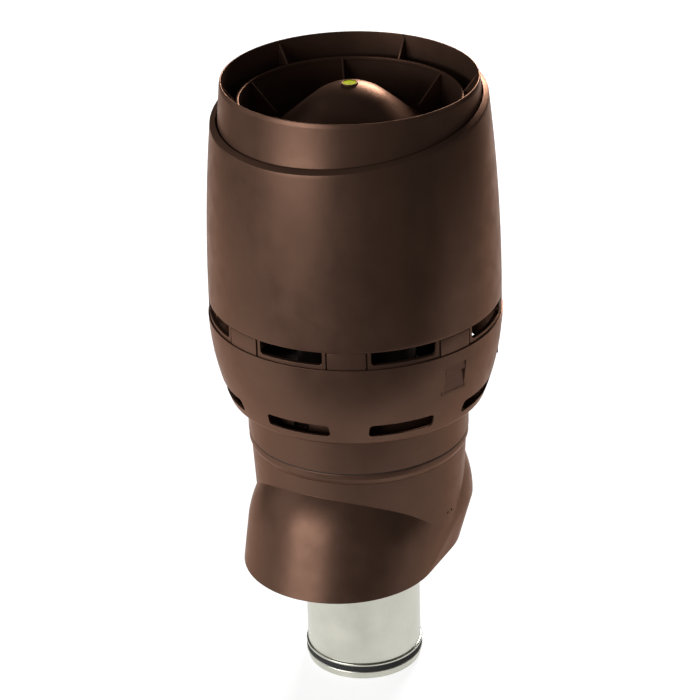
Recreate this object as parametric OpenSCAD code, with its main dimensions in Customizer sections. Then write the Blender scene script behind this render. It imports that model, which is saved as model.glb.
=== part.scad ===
// Insulated roof vent pipe with a lift-off hood.
// Frame: origin on the axis at the lower end of the duct, +Z up, front (down-slope side) at -Y.

/* [Duct] */
// Outside diameter of the air duct
duct_d = 125; // [100:1:140]
// Wall of the duct
duct_wall = 1; // [0.8:0.1:1.5]
// Height of the duct's upper end
duct_top = 470; // [440:5:500]
// Plain end below the lower bead
duct_hem = 6; // [4:0.5:10]
// Radius of the rolled beads that hold the seal
bead_r = 2; // [1.4:0.1:2.6]
// Height of the rubber seal between the beads
seal_h = 5.6; // [3:0.1:8]
// How far the seal's lip stands out from the duct
seal_reach = 1.7; // [1.2:0.1:2.4]

/* [Casing] */
// Outside diameter of the casing at its top
casing_d = 230.4; // [220:0.5:236]
// Growth of the casing's radius for each millimetre of height
casing_draft = 0.055; // [0:0.005:0.06]
// Wall of the casing and its skirt
casing_wall = 3; // [2:0.25:4]
// Height of the casing's upper end
casing_top = 273; // [264:1:277]
// Diameter of the screw holes in the sides
screw_hole_d = 3; // [2:0.5:5]
// Height of the screw holes
screw_hole_z = 207; // [200:1:212]
// Place of each pair of screw holes along Y
screw_hole_y = -11; // [-20:1:0]
// Distance between the two holes of a pair
screw_hole_gap = 7.4; // [6:0.2:12]

/* [Skirt] */
// Radius of the front lobe
front_r = 106.4; // [100:0.2:108]
// Height of the front lobe's dome
front_h = 113.8; // [106:0.2:118]
// Place of the front lobe along Y
front_y = -36.4; // [-42:0.2:-32]
// Height where the front lobe's dome starts
front_z = 176; // [170:0.5:178]
// Radius of the rear lobe's ball
rear_r = 113; // [110:0.5:115]
// Place of the rear lobe along Y
rear_y = 21.6; // [16:0.2:26]
// Height where the rear lobe's ball starts
rear_z = 193; // [184:0.5:198]
// Height where the casing grows out of the skirt's sides
valley_z = 178; // [174:0.5:182]
// Height of the hem
hem_z = 150; // [144:0.5:156]
// Radius of the hem's rounded ends
hem_r = 104.8; // [103:0.2:109]
// Place of the hem's front end along Y
hem_front_y = -50.2; // [-54:0.2:-44]
// Place of the hem's rear end along Y
hem_rear_y = 7.8; // [6:0.2:12]

/* [Adapter collar] */
// Outside diameter of the collar
collar_d = 235.2; // [233:0.2:236]
// Height of the collar's band
collar_h = 12.5; // [8:0.5:16]
// Height of the bevel under the collar's band
collar_bevel = 6; // [3:0.5:7]
// Outside diameter of the spigot that carries the hood
spigot_d = 229; // [227:0.5:229.5]
// Wall of the spigot
spigot_wall = 3; // [2:0.25:4]
// Height of the spigot above the collar
spigot_h = 64.5; // [62:0.5:70]
// Depth of the lip that sits inside the casing
lip_depth = 15; // [8:1:20]
// Thickness of the gasket under the hood's neck
gasket_t = 1.2; // [0.8:0.1:2.5]

/* [Insulation and rings] */
// Clearance between the insulation and what is round it
foam_gap = 0.3; // [0.2:0.1:1]
// Height of the lower closing ring's underside
base_ring_z = 222; // [216:1:232]
// Thickness of the closing rings
ring_t = 4; // [3:0.5:6]
// Height of the upper closing ring's outer edge
cap_edge = 2; // [1:0.5:4]
// Rise of the upper closing ring's slope
cap_rise = 9; // [5:0.5:14]
// Width of the flat next to the duct on the upper closing ring
cap_flat = 4; // [2:0.5:10]
// Depth of the space for the latches behind the spigot wall
latch_room = 10; // [9:0.5:14]

/* [Latches] */
// Width of the latch windows
latch_w = 18; // [12:1:24]
// Height of the latch windows
latch_h = 7.6; // [6:0.2:9]
// Height of the latch windows' lower edge
latch_z = 334; // [332:1:335]
// Angle of the front latch from the front
latch_turn = -3.2; // [-6:0.2:6]
// How far a latch slides out
latch_travel = 4.5; // [3.5:0.1:5]
// Clearance round a latch
latch_gap = 0.3; // [0.2:0.05:0.4]

/* [Bowl] */
// Outside diameter of the neck
neck_d = 236; // [235:0.5:238]
// Clearance between neck and spigot
neck_gap = 0.5; // [0.3:0.1:0.8]
// Wall of the bowl
bowl_wall = 2.6; // [2:0.2:3.2]
// Largest diameter of the bowl's curve
bowl_d = 309.8; // [308:0.2:312]
// Width of the bowl's flat underside beyond the neck
bowl_ledge = 17.2; // [15:0.2:19]
// Height of the curve's centre
bowl_mid = 433.4; // [428:0.2:438]
// Height of the bowl's top edge
bowl_top = 425; // [423:0.5:427]
// Height of the bowl's underside
under_z = 330; // [327:0.5:332]
// Rounding of the bowl's lower edge
bowl_edge = 6.2; // [4:0.2:8]
// Fillet between the neck and the underside
neck_fillet = 3; // [1:0.5:5]
// Number of drain slots and of windows
opening_count = 8; // [6:1:8]
// Width of the drain slots
slot_w = 70; // [50:1:76]
// Height of the drain slots
slot_h = 12; // [9:0.5:14]
// Height of the drain slots' lower edge
slot_z = 344; // [342:1:348]
// Corner radius of the slots and windows
corner_r = 4; // [2:0.5:4.4]
// Size of the square flats on the sides
flat_size = 28; // [22:1:32]
// Height of the flats' lower edge
flat_z = 378.5; // [374:0.5:382]
// Depth of a flat at its lower edge
flat_sink = 0.4; // [0.2:0.1:1]
// Angle of the flats from the sides
flat_turn = 22.5; // [18:0.5:26]

/* [Socket] */
// Clearance between socket and spigot
socket_gap = 2.7; // [2.2:0.1:2.9]
// Wall of the socket
socket_wall = 2.6; // [2:0.2:2.6]
// Height of the socket's upper edge
socket_top = 348; // [346:0.5:350]

/* [Window ring] */
// Wall of the window ring
band_wall = 2.4; // [2:0.2:3]
// Height of the window opening's lower edge
window_z = 429.5; // [428:0.5:432]
// Width of the windows
window_w = 70; // [60:1:74]
// Depth of the ring inside the bowl
band_drop = 10; // [6:1:14]
// Overlap of the ring behind the shell
band_rise = 9; // [6:1:14]
// Width of the frame strip beside each window
frame_w = 3.6; // [2.4:0.2:6]
// Width of the groove between a frame strip and the pad beside it
groove_w = 1.8; // [1:0.2:3]
// How far the frame strips stand back from the shell
frame_back = 0.6; // [0.3:0.1:1.2]

/* [Shell] */
// Diameter of the shell at its lower edge
shell_d = 307.4; // [307:0.2:309]
// Radius of the shell's long curve, seen from the side
shell_curve = 1900; // [1800:50:2400]
// Wall of the shell
shell_wall = 2.5; // [2:0.25:3]
// Height of the shell's lower edge
shell_z = 444; // [442:1:446]
// Height of the rim above the slanted shoulder, on the axis
shoulder_depth = 28.1; // [24:0.1:35]
// Slant of the shoulder
shoulder_tilt = 8; // [5:0.1:9]
// Angle of the shoulder's lowest place from the front
shoulder_turn = -13; // [-45:0.5:45]
// Width of the slope on the shoulder's outer edge
shoulder_slope_w = 5.5; // [3:0.5:7]
// Height of the slope on the shoulder's outer edge
shoulder_slope_h = 3; // [1:0.5:5]
// Gap between shoulder and top collar
shoulder_gap = 1.6; // [0.8:0.1:2]

/* [Top collar] */
// Height of the rim
rim_z = 681.6; // [679:0.2:684]
// Outside diameter of the rim
rim_d = 264.8; // [262:0.4:266]
// Growth of the top collar's radius for each millimetre down
top_draft = 0.086; // [0.07:0.002:0.09]
// Wall of the top collar
top_wall = 2; // [1.6:0.1:2.6]
// Height of the bevel under the rim
bevel_h = 4.5; // [3:0.5:6]
// Depth of the bevel at the rim
bevel_in = 0.6; // [0.3:0.1:0.8]
// Height of the top collar from its seat to the rim
top_height = 89.6; // [84:0.4:96]
// Thickness of the flange that reaches the shell
flange_t = 2.5; // [2:0.25:4]

/* [Inner ring, ribs and dome] */
// Outside diameter of the inner ring
inner_ring_d = 232; // [230:1:234]
// Wall of the inner ring
inner_ring_wall = 2; // [1.6:0.1:2.4]
// Height of the rim above the inner ring
inner_ring_depth = 21.6; // [19:0.2:25]
// Height of the inner ring
inner_ring_h = 140; // [130:1:148]
// Height and thickness of the lip on the inner ring
lip_h = 4; // [3:0.5:6]
// Thickness of all ribs
rib_t = 2; // [1.6:0.1:3]
// Number of outer and of inner ribs
rib_count = 6; // [4:1:6]
// Height of the outer ribs' lower edge above the top collar's
outer_rib_rise = 12; // [8:1:18]
// Fall of the inner ribs from the ring's top to their level part
inner_rib_fall = 31; // [29:0.5:34]
// Bend radius where the inner ribs turn level
inner_rib_bend = 8; // [4:1:12]
// Height of the rim above the dome's apex
dome_depth = 7.6; // [6.6:0.2:12]
// Radius of the dome's lower edge
dome_r = 97; // [94:0.5:100]
// Slope of the dome's side
dome_slope = 40.2; // [37:0.2:42]
// Rounding radius of the dome's top
dome_round = 60; // [50:1:66]
// Wall of the dome
dome_wall = 2; // [1.6:0.1:2.6]
// Depth of the straight rim under the dome
dome_rim = 8; // [6:0.5:10]
// Thickness of the plates at the ribs' inner ends
plate_t = 3; // [2.5:0.5:4]
// Distance from the dome's edge to its screws
screw_in = 13; // [11:1:16]

/* [Air funnel] */
// Clearance between funnel and duct
funnel_gap = 2; // [1.5:0.25:4]
// Length of the duct that the funnel overlaps
funnel_lap = 30; // [20:1:40]
// Straight part of the funnel, as a share of its height
funnel_straight = 0.46; // [0.38:0.01:0.54]
// Height of the funnel's upper edge above the inner ring's lower edge
funnel_rise = 50; // [40:1:56]
// Radius of the funnel's upper edge
funnel_r = 90; // [84:1:94]
// Wall of the funnel
funnel_wall = 2; // [1.6:0.1:2.6]
// Number of struts that carry the funnel
strut_count = 6; // [3:1:8]

/* [Spirit level] */
// Diameter of the level's liquid
level_d = 14.4; // [12:0.2:18]
// Height of the liquid
level_h = 2.2; // [1.6:0.1:4]
// Wall of the level's housing
level_wall = 1.2; // [1:0.1:2]
// Thickness of the level's lens
lens_t = 0.8; // [0.6:0.1:1.2]
// How far the level stands out of the dome's top
level_proud = 1; // [0.6:0.1:1.4]
// Diameter of the bubble
bubble_d = 4; // [2:0.2:6]

/* [Screws] */
// Diameter of the screws' shanks
screw_d = 4; // [3:0.5:4.5]
// Clearance round the shanks in the ribs' plates
screw_gap = 0.25; // [0.15:0.05:0.5]
// Diameter of the screws' heads
screw_head_d = 8; // [6:0.5:9]
// Height of the screws' heads
screw_head_h = 2.6; // [2:0.2:3]
// Depth of the screws inside the dome's bosses
screw_grip = 8; // [6:0.5:9]
// Wall of the bosses round the screws
boss_wall = 2.2; // [1.6:0.2:3]

/* [Hidden] */
$fn = 96;

brown = [0.31, 0.23, 0.19];
dark_brown = [0.20, 0.15, 0.13];
steel = [0.76, 0.76, 0.72];
rubber = [0.06, 0.06, 0.06];
foam = [0.86, 0.86, 0.84];
level_green = [0.72, 0.80, 0.10];

slice = 0.02;
through = 400;
seat_gap = 0.2;
rib_gap = 0.1;
past = 20;
duct_r = duct_d / 2;
duct_in = duct_r - duct_wall;
low_bead_z = duct_hem + bead_r;
seal_z = duct_hem + 2 * bead_r;
high_bead_z = seal_z + seal_h + bead_r;

lip_r = casing_in(casing_top - lip_depth) - seat_gap;
collar_top = casing_top + collar_h;
spigot_r = spigot_d / 2;
spigot_in = spigot_r - spigot_wall;
spigot_top = collar_top + spigot_h;
neck_low = collar_top + gasket_t;
foam_r = min(lip_r - spigot_wall, casing_in(base_ring_z)) - foam_gap;
foam_low = base_ring_z + ring_t;
foam_step_r = spigot_in - latch_room;
foam_step_z = latch_z - 8;
foam_top = spigot_top - ring_t;

neck_r = neck_d / 2;
neck_in = spigot_r + neck_gap;
socket_in = spigot_r + socket_gap;
socket_out = socket_in + socket_wall;
floor_z = under_z + bowl_wall;
bowl_foot_r = neck_r + bowl_ledge;
bowl_curve = (pow(bowl_mid - under_z, 2) + pow(bowl_d / 2 - bowl_foot_r, 2)) / (bowl_d - 2 * bowl_foot_r);
band_r = shell_d / 2 - shell_wall - seat_gap;
band_in = band_r - band_wall;
band_top = shell_z + band_rise;

rim_r = rim_d / 2;
top_low = rim_z - top_height;
shoulder_z = rim_z - shoulder_depth;
shoulder_drop = tan(shoulder_tilt);
inner_ring_top = rim_z - inner_ring_depth;
inner_ring_low = inner_ring_top - inner_ring_h;
outer_rib_low = top_low + outer_rib_rise;
inner_rib_step = inner_ring_top - inner_rib_fall;
dome_top = rim_z - dome_depth;
ring_r = inner_ring_d / 2;
ring_in = ring_r - inner_ring_wall;
funnel_in = duct_r + funnel_gap;
funnel_low = duct_top - funnel_lap;
funnel_top = inner_ring_low + funnel_rise;
funnel_knee = funnel_low + funnel_straight * (funnel_top - funnel_low);
level_r = level_d / 2;
level_case_r = level_r + level_wall;
level_top = dome_top + level_proud;
lens_z = level_top - lens_t;
liquid_z = lens_z - level_h;
screw_r = screw_d / 2;
boss_r = screw_r + boss_wall;
plate_z = dome_low() - plate_t;
opening_step = 360 / opening_count;
rib_step = 360 / rib_count;

// Outer radius of the casing at a height
function casing_r(z) = casing_d / 2 - casing_draft * (casing_top - z);
// Inner radius of the casing at a height
function casing_in(z) = casing_r(z) - casing_wall;
// Outer radius of the bowl's curved side at a height
function bowl_r(z) = bowl_d / 2 - bowl_curve + sqrt(pow(bowl_curve, 2) - pow(bowl_mid - z, 2));
// Angle at which the bowl's side runs into the rounding of its lower edge
function edge_angle() = asin((bowl_mid - under_z - bowl_edge) / (bowl_curve - bowl_edge));
// The bowl's side from the underside to the top edge, set back by the wall or by nothing
function bowl_side(inset) =
    let (centre = bowl_d / 2 - bowl_curve, low = edge_angle(), steps = 12,
        high = asin((bowl_mid - bowl_top) / (bowl_curve - inset)),
        edge_r = centre + (bowl_curve - bowl_edge) * cos(low), edge_z = under_z + bowl_edge)
    concat(
        [for (i = [0:5]) let (a = 90 - (90 - low) * i / 6)
            [edge_r + (bowl_edge - inset) * cos(a), edge_z - (bowl_edge - inset) * sin(a)]],
        [for (i = [0:steps]) let (a = low + (high - low) * i / steps)
            [centre + (bowl_curve - inset) * cos(a), bowl_mid - (bowl_curve - inset) * sin(a)]]);
// Outer radius of the shell at a height
function shell_r(z) = shell_d / 2 - pow(z - shell_z, 2) / (2 * shell_curve);
// Outer radius of the top collar at a height
function top_r(z) = rim_r + top_draft * (rim_z - z);
// Height of the dome's surface at a radius
function dome_z(r) = r < dome_round * sin(dome_slope)
    ? dome_top - dome_round + sqrt(pow(dome_round, 2) - pow(r, 2))
    : dome_top - dome_round * (1 - cos(dome_slope))
        - (r - dome_round * sin(dome_slope)) * tan(dome_slope);
// Height of the straight rim's lower edge, where the dome rests on the ribs' plates
function dome_low() = dome_z(dome_r) - dome_rim;

// Slab above a slanted plane: tilt is the plane's slope up to the rear
module above_plane(height, tilt, thick) {
    translate([0, 0, height]) rotate([tilt, 0, 0])
        translate([-through / 2, -through / 2, 0]) cube([through, through, thick]);
}

// Upright prism that points outwards at an angle, from one distance to another
module radial_prism(angle, near, far) {
    rotate([0, 0, angle]) translate([near, 0, 0])
        rotate([90, 0, 90]) linear_extrude(far - near) children();
}

// Flat opening with rounded lower corners, and rounded upper ones where asked for
module opening_outline(w, h, r, round_top) {
    translate([-w / 2 + r, 0]) square([w - 2 * r, r]);
    translate([-w / 2, r]) square([w, round_top ? h - 2 * r : h - r]);
    if (round_top) translate([-w / 2 + r, h - r]) square([w - 2 * r, r]);
    for (x = [-w / 2 + r, w / 2 - r], y = round_top ? [r, h - r] : [r])
        translate([x, y]) circle(r);
}

// The skirt's solid form: two domed lobes drawn down to the rounded hem
module skirt_form(inset, low) {
    hull() {
        translate([0, front_y, front_z]) lobe(front_r - inset, front_h - inset);
        translate([0, rear_y, rear_z]) lobe(rear_r - inset, rear_r - inset);
        translate([0, 0, valley_z]) cylinder(h = slice, r = casing_r(valley_z) - inset);
        for (y = [hem_front_y, hem_rear_y])
            translate([0, y, hem_z - low]) cylinder(h = slice, r = hem_r - inset);
    }
}

// Upper half of a ball, or of an egg
module lobe(r, h) {
    steps = 12;
    rotate_extrude()
        polygon(concat([[0, 0]], [for (i = [0:steps]) [r * cos(90 * i / steps), h * sin(90 * i / steps)]]));
}

module casing_skirt() {
    color(brown) difference() {
        union() {
            skirt_form(0, 0);
            translate([0, 0, valley_z])
                cylinder(h = casing_top - valley_z, r1 = casing_r(valley_z), r2 = casing_r(casing_top));
        }
        skirt_form(casing_wall, casing_wall);
        translate([0, 0, valley_z])
            cylinder(h = casing_top - valley_z, r1 = casing_in(valley_z), r2 = casing_in(casing_top));
        translate([0, 0, casing_top - slice]) cylinder(h = through, r = casing_in(casing_top));
        for (y = [-1, 1])
            translate([-through / 2, screw_hole_y + y * screw_hole_gap / 2, screw_hole_z])
                rotate([0, 90, 0]) cylinder(h = through, d = screw_hole_d);
    }
}

module adapter_collar() {
    color(brown) difference() {
        rotate_extrude() polygon([
            [lip_r - spigot_wall, casing_top - lip_depth], [lip_r, casing_top - lip_depth],
            [lip_r, casing_top], [casing_d / 2, casing_top], [collar_d / 2, casing_top + collar_bevel],
            [collar_d / 2, collar_top],
            [spigot_r, collar_top], [spigot_r, spigot_top], [spigot_in, spigot_top],
            [spigot_in, collar_top], [lip_r - spigot_wall, casing_top]]);
        for (side = [0, 180])
            translate([0, 0, latch_z])
                radial_prism(side + latch_turn - 90, spigot_in - 5, spigot_r + 5)
                    opening_outline(latch_w, latch_h, 1, true);
    }
}

module collar_gasket() {
    color(rubber) translate([0, 0, collar_top]) difference() {
        cylinder(h = gasket_t, r = collar_d / 2 - 0.6);
        translate([0, 0, -1]) cylinder(h = gasket_t + 2, r = neck_in);
    }
}

module inner_duct() {
    color(steel) difference() {
        union() {
            cylinder(h = duct_top, r = duct_r);
            for (z = [low_bead_z, high_bead_z])
                translate([0, 0, z]) rotate_extrude() translate([duct_r, 0]) circle(bead_r, $fn = 32);
        }
        translate([0, 0, -1]) cylinder(h = duct_top + 2, r = duct_in);
    }
}

module duct_seal() {
    color(rubber) rotate_extrude() polygon([
        [duct_r, seal_z], [duct_r + seal_reach - 0.6, seal_z],
        [duct_r + seal_reach, seal_z + 0.6], [duct_r + seal_reach, seal_z + seal_h / 2],
        [duct_r + seal_reach - 0.8, seal_z + seal_h], [duct_r, seal_z + seal_h]]);
}

// One half of the insulation
module insulation_half(side) {
    color(foam) rotate([0, 0, side]) rotate_extrude(angle = 180) polygon([
        [duct_r + foam_gap, foam_low], [foam_r, foam_low], [foam_r, foam_step_z],
        [foam_step_r, foam_step_z], [foam_step_r, foam_top], [duct_r + foam_gap, foam_top]]);
}

module insulation_left() { insulation_half(90); }

module insulation_right() { insulation_half(-90); }

module lower_closing_ring() {
    color(dark_brown) rotate_extrude() polygon([
        [duct_r + foam_gap, base_ring_z], [foam_r, base_ring_z],
        [foam_r, base_ring_z + ring_t], [duct_r + foam_gap, base_ring_z + ring_t]]);
}

module upper_closing_ring() {
    color(dark_brown) rotate_extrude() polygon([
        [duct_r + foam_gap, foam_top], [spigot_in - foam_gap, foam_top],
        [spigot_in - foam_gap, spigot_top], [spigot_r, spigot_top],
        [spigot_r, spigot_top + cap_edge], [duct_r + cap_flat, spigot_top + cap_rise],
        [duct_r + foam_gap, spigot_top + cap_rise]]);
}

// A latch, drawn pressed in and flush with the spigot: a nose with a stop plate behind it
module latch(side) {
    angle = side + latch_turn - 90;
    stop_r = spigot_in - latch_travel - 0.6;
    color(dark_brown) translate([0, 0, latch_z]) {
        radial_prism(angle, stop_r - 2, spigot_r - 0.5)
            translate([0, latch_gap])
                opening_outline(latch_w - 2 * latch_gap, latch_h - 2 * latch_gap, 0.8, true);
        radial_prism(angle, stop_r - 2, stop_r)
            translate([0, -2]) opening_outline(latch_w + 4, latch_h + 4, 1, true);
    }
}

module front_latch() { latch(0); }

module rear_latch() { latch(180); }

module hood_bowl() {
    inner = bowl_side(bowl_wall);
    fillet = [for (a = [0:30:90])
        [neck_r + neck_fillet * (1 - cos(a)), under_z - neck_fillet * (1 - sin(a))]];
    color(brown)
        difference() {
            union() {
                rotate_extrude() polygon(concat(
                    [[neck_in, neck_low], [neck_r, neck_low]], fillet, bowl_side(0),
                    [for (i = [len(inner) - 1:-1:0]) inner[i]], [[neck_in, floor_z]]));
                intersection() {
                    flats(-bowl_wall, past, bowl_wall);
                    rotate_extrude()
                        polygon(concat([[neck_in, under_z]], bowl_side(0), [[neck_in, bowl_top]]));
                }
            }
            flats(0, past, 0);
            for (i = [0:opening_count - 1])
                translate([0, 0, slot_z])
                    radial_prism(i * opening_step - 90, bowl_r(slot_z) - past, bowl_r(slot_z) + past)
                        opening_outline(slot_w, slot_h, corner_r, true);
        }
}

// The four flats' prisms, from behind the flat to in front of it, grown by a margin all round
module flats(behind, ahead, margin) {
    face_r = bowl_r(flat_z) - flat_sink;
    width = flat_size + 2 * margin;
    for (side = [0, 180], turn = [-flat_turn, flat_turn])
        translate([0, 0, flat_z - margin])
            radial_prism(side + turn, face_r + behind, face_r + ahead)
                translate([-width / 2, 0]) square([width, width]);
}

module hood_socket() {
    color(brown) difference() {
        translate([0, 0, floor_z]) cylinder(h = socket_top - floor_z, r = socket_out);
        translate([0, 0, floor_z - 1]) cylinder(h = socket_top - floor_z + 2, r = socket_in);
        for (side = [0, 180])
            translate([0, 0, latch_z])
                radial_prism(side + latch_turn - 90, socket_in - 5, socket_out + 5)
                    opening_outline(latch_w, latch_h, 1, true);
    }
}

module window_ring() {
    pad_r = shell_d / 2;
    pad_top = shell_z - seat_gap;
    frame_end = window_w / 2 + frame_w;
    color(brown) difference() {
        union() {
            translate([0, 0, bowl_top - band_drop])
                cylinder(h = band_top - bowl_top + band_drop, r = band_r);
            translate([0, 0, bowl_top + seat_gap])
                cylinder(h = pad_top - bowl_top - seat_gap, r = pad_r);
        }
        translate([0, 0, bowl_top - band_drop - 1])
            cylinder(h = band_top - bowl_top + band_drop + 2, r = band_in);
        for (i = [0:opening_count - 1]) {
            translate([0, 0, window_z])
                radial_prism(i * opening_step - 90, band_in - 20, pad_r + 5)
                    opening_outline(window_w, shell_z + 2 - window_z, corner_r, false);
            translate([0, 0, bowl_top]) difference() {
                radial_prism(i * opening_step - 90, band_in - 20, pad_r + 5)
                    translate([-frame_end, 0]) square([2 * frame_end, pad_top - bowl_top + 1]);
                translate([0, 0, -1]) cylinder(h = pad_top - bowl_top + 3, r = pad_r - frame_back);
            }
            for (side = [-1, 1])
                translate([0, 0, bowl_top + seat_gap]) difference() {
                    radial_prism(i * opening_step - 90, band_in - 20, pad_r + 5)
                        translate([side * (frame_end + groove_w / 2) - groove_w / 2, 0])
                            square([groove_w, pad_top - bowl_top]);
                    translate([0, 0, -1]) cylinder(h = pad_top - bowl_top + 2, r = band_r);
                }
        }
    }
}

// Everything below the slanted shoulder with its sloped edge, lowest at the front
module below_shoulder(inset) {
    front = shoulder_z - shoulder_drop * shell_r(shoulder_z);
    rear = shoulder_z + shoulder_drop * shell_r(shoulder_z);
    shift = (shell_r(front) - shell_r(rear)) / 2;
    base_z = front - shoulder_slope_h - 15;
    hull() {
        translate([0, 0, base_z - slice]) cylinder(h = slice, r = shell_d / 2 + 5);
        for (edge = [0, 1])
            intersection() {
                translate([0, -shift, base_z])
                    cylinder(h = through, r = shell_r(shoulder_z) - inset - edge * shoulder_slope_w);
                above_plane(shoulder_z - inset - (1 - edge) * shoulder_slope_h, shoulder_tilt, slice);
            }
    }
    translate([0, 0, shell_z - 5]) cylinder(h = base_z - shell_z + 5, r = shell_d / 2 + 5);
}

// The shell's solid of revolution, smaller all round by an inset
module shell_form(inset, low) {
    steps = 16;
    top = rim_z + 5;
    rotate_extrude() polygon(concat([[0, low]],
        [for (i = [0:steps]) let (z = low + (top - low) * i / steps) [shell_r(z) - inset, z]],
        [[0, top]]));
}

module hood_shell() {
    color(brown) difference() {
        intersection() {
            shell_form(0, shell_z);
            rotate([0, 0, shoulder_turn]) below_shoulder(0);
        }
        intersection() {
            shell_form(shell_wall, shell_z - 1);
            rotate([0, 0, shoulder_turn]) below_shoulder(shell_wall);
        }
        translate([0, 0, top_low])
            cylinder(h = rim_z - top_low, r1 = top_r(top_low) + shoulder_gap, r2 = rim_r + shoulder_gap);
    }
}

module top_collar() {
    seat = shell_r(top_low) - shell_wall - 0.3;
    edge_r = (top_wall - bevel_in) / 2;
    color(brown) difference() {
        rotate_extrude() {
            polygon([
                [top_r(top_low) - top_wall, top_low], [seat, top_low],
                [seat, top_low + flange_t], [top_r(top_low + flange_t), top_low + flange_t],
                [top_r(rim_z - bevel_h), rim_z - bevel_h], [rim_r - bevel_in, rim_z - edge_r],
                [rim_r - top_wall, rim_z - edge_r]]);
            translate([rim_r - bevel_in - edge_r, rim_z - edge_r]) circle(edge_r, $fn = 24);
        }
        for (i = [0:rib_count - 1])
            translate([0, 0, rim_z - 3])
                radial_prism((i + 0.5) * rib_step, rim_r - top_wall - 1, rim_r - top_wall / 2)
                    translate([-rib_t / 2, 0]) square([rib_t, 4]);
    }
}

module inner_ring() {
    color(brown) rotate_extrude() polygon([
        [ring_in, inner_ring_low], [ring_r, inner_ring_low],
        [ring_r, inner_ring_top - 0.6], [ring_r - 0.6, inner_ring_top],
        [ring_in - 0.2, inner_ring_top], [ring_in - 0.8, inner_ring_top - 0.6],
        [ring_in - 0.8, inner_ring_top - lip_h], [ring_in, inner_ring_top - lip_h]]);
}

module outer_ribs() {
    color(brown) for (i = [0:rib_count - 1])
        rotate([90, 0, (i + 0.5) * rib_step]) translate([0, 0, -rib_t / 2]) linear_extrude(rib_t)
            polygon([
                [ring_r, outer_rib_low], [ring_r, inner_ring_top - 0.6],
                [top_r(rim_z - 3) - top_wall - rib_gap, rim_z - 3],
                [top_r(outer_rib_low) - top_wall - rib_gap, outer_rib_low]]);
}

// The ribs carry a round plate each, on which the dome's bosses stand
module inner_ribs() {
    rib_end = dome_r - screw_in;
    color(brown) difference() {
        for (i = [0:rib_count - 1])
            rotate([0, 0, i * rib_step]) {
                rotate([90, 0, 0]) translate([0, 0, -rib_t / 2])
                    linear_extrude(rib_t) inner_rib_outline(rib_end);
                translate([rib_end, 0, plate_z]) cylinder(h = plate_t, r = boss_r + 1.5, $fn = 32);
            }
        dome_solid(0);
        for (i = [0:rib_count - 1])
            rotate([0, 0, i * rib_step]) translate([rib_end, 0, plate_z - 1])
                cylinder(h = plate_t + 2, r = screw_r + screw_gap, $fn = 32);
    }
}

// Side view of an inner rib: it drops from the ring, bends and runs level to the dome
module inner_rib_outline(rib_end) {
    top = inner_ring_top - lip_h;
    bend_x = dome_r - 11;
    slope = atan((top - inner_rib_step) / (ring_in - bend_x));
    reach = inner_rib_bend * tan(slope / 2);
    bend = [for (a = [0:slope / 4:slope])
        [bend_x - reach + inner_rib_bend * sin(a), inner_rib_step + inner_rib_bend * (1 - cos(a))]];
    polygon(concat(
        [[rib_end, plate_z], [rib_end, inner_rib_step]], bend, [[ring_in, top], [ring_in, plate_z]]));
}

// The dome's outer form, smaller all round by an inset
module dome_solid(inset) {
    steps = 10;
    round_r = dome_round - inset;
    centre_z = dome_top - dome_round;
    edge_r = dome_r - inset;
    cone_r = round_r * sin(dome_slope);
    cone_z = centre_z + round_r * cos(dome_slope);
    low = dome_low() - (inset > 0 ? 1 : 0);
    cap = [for (i = [steps:-1:0]) let (a = dome_slope * i / steps)
        [round_r * sin(a), centre_z + round_r * cos(a)]];
    rotate_extrude() polygon(concat(
        [[0, low], [edge_r, low], [edge_r, cone_z - (edge_r - cone_r) * tan(dome_slope)]], cap));
}

module dome() {
    color(brown) difference() {
        union() {
            difference() {
                dome_solid(0);
                dome_solid(dome_wall);
            }
            for (i = [0:rib_count - 1])
                rotate([0, 0, i * rib_step]) translate([dome_r - screw_in, 0, dome_low()])
                    cylinder(h = dome_z(dome_r - screw_in + boss_r) - dome_low() - 1, r = boss_r, $fn = 32);
        }
        for (i = [0:rib_count - 1])
            rotate([0, 0, i * rib_step]) translate([dome_r - screw_in, 0, dome_low() - 1])
                cylinder(h = screw_grip + 1.5, r = screw_r, $fn = 32);
        translate([0, 0, liquid_z - level_wall]) cylinder(h = 10, r = level_case_r);
    }
}

module air_funnel() {
    color(dark_brown) rotate_extrude() polygon([
        [funnel_in, funnel_low], [funnel_in + funnel_wall, funnel_low],
        [funnel_in + funnel_wall, funnel_knee], [funnel_r, funnel_top],
        [funnel_r - funnel_wall, funnel_top], [funnel_in, funnel_knee]]);
}

module funnel_struts() {
    low = inner_ring_low + 4;
    color(dark_brown) difference() {
        for (i = [0:strut_count - 1])
            rotate([90, 0, (i + 0.5) * 360 / strut_count]) translate([0, 0, -rib_t / 2])
                linear_extrude(rib_t) polygon([
                    [funnel_in + funnel_wall, low], [ring_in, low],
                    [ring_in, funnel_top - 4], [funnel_r - 8, funnel_top - 4]]);
        rotate_extrude() polygon([
            [0, funnel_low], [funnel_in + funnel_wall, funnel_low],
            [funnel_in + funnel_wall, funnel_knee], [funnel_r, funnel_top], [0, funnel_top]]);
    }
}

// A cup that hangs in the dome's top by the flange under the dome
module level_housing() {
    color(brown) difference() {
        union() {
            translate([0, 0, liquid_z - level_wall])
                cylinder(h = level_top - liquid_z + level_wall, r = level_case_r);
            translate([0, 0, liquid_z - level_wall - 1]) cylinder(h = 1, r = level_case_r);
        }
        translate([0, 0, liquid_z]) cylinder(h = level_h + lens_t + 1, r = level_r);
    }
}

module level_liquid() {
    color(level_green) difference() {
        translate([0, 0, liquid_z]) cylinder(h = level_h, r = level_r);
        bubble_form(0);
    }
}

module bubble_form(inset) {
    translate([0, 0, lens_z - 1 + inset]) cylinder(h = 1 - inset, d = bubble_d - 2 * inset, $fn = 32);
}

module level_bubble() { color("white") bubble_form(0.05); }

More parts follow.
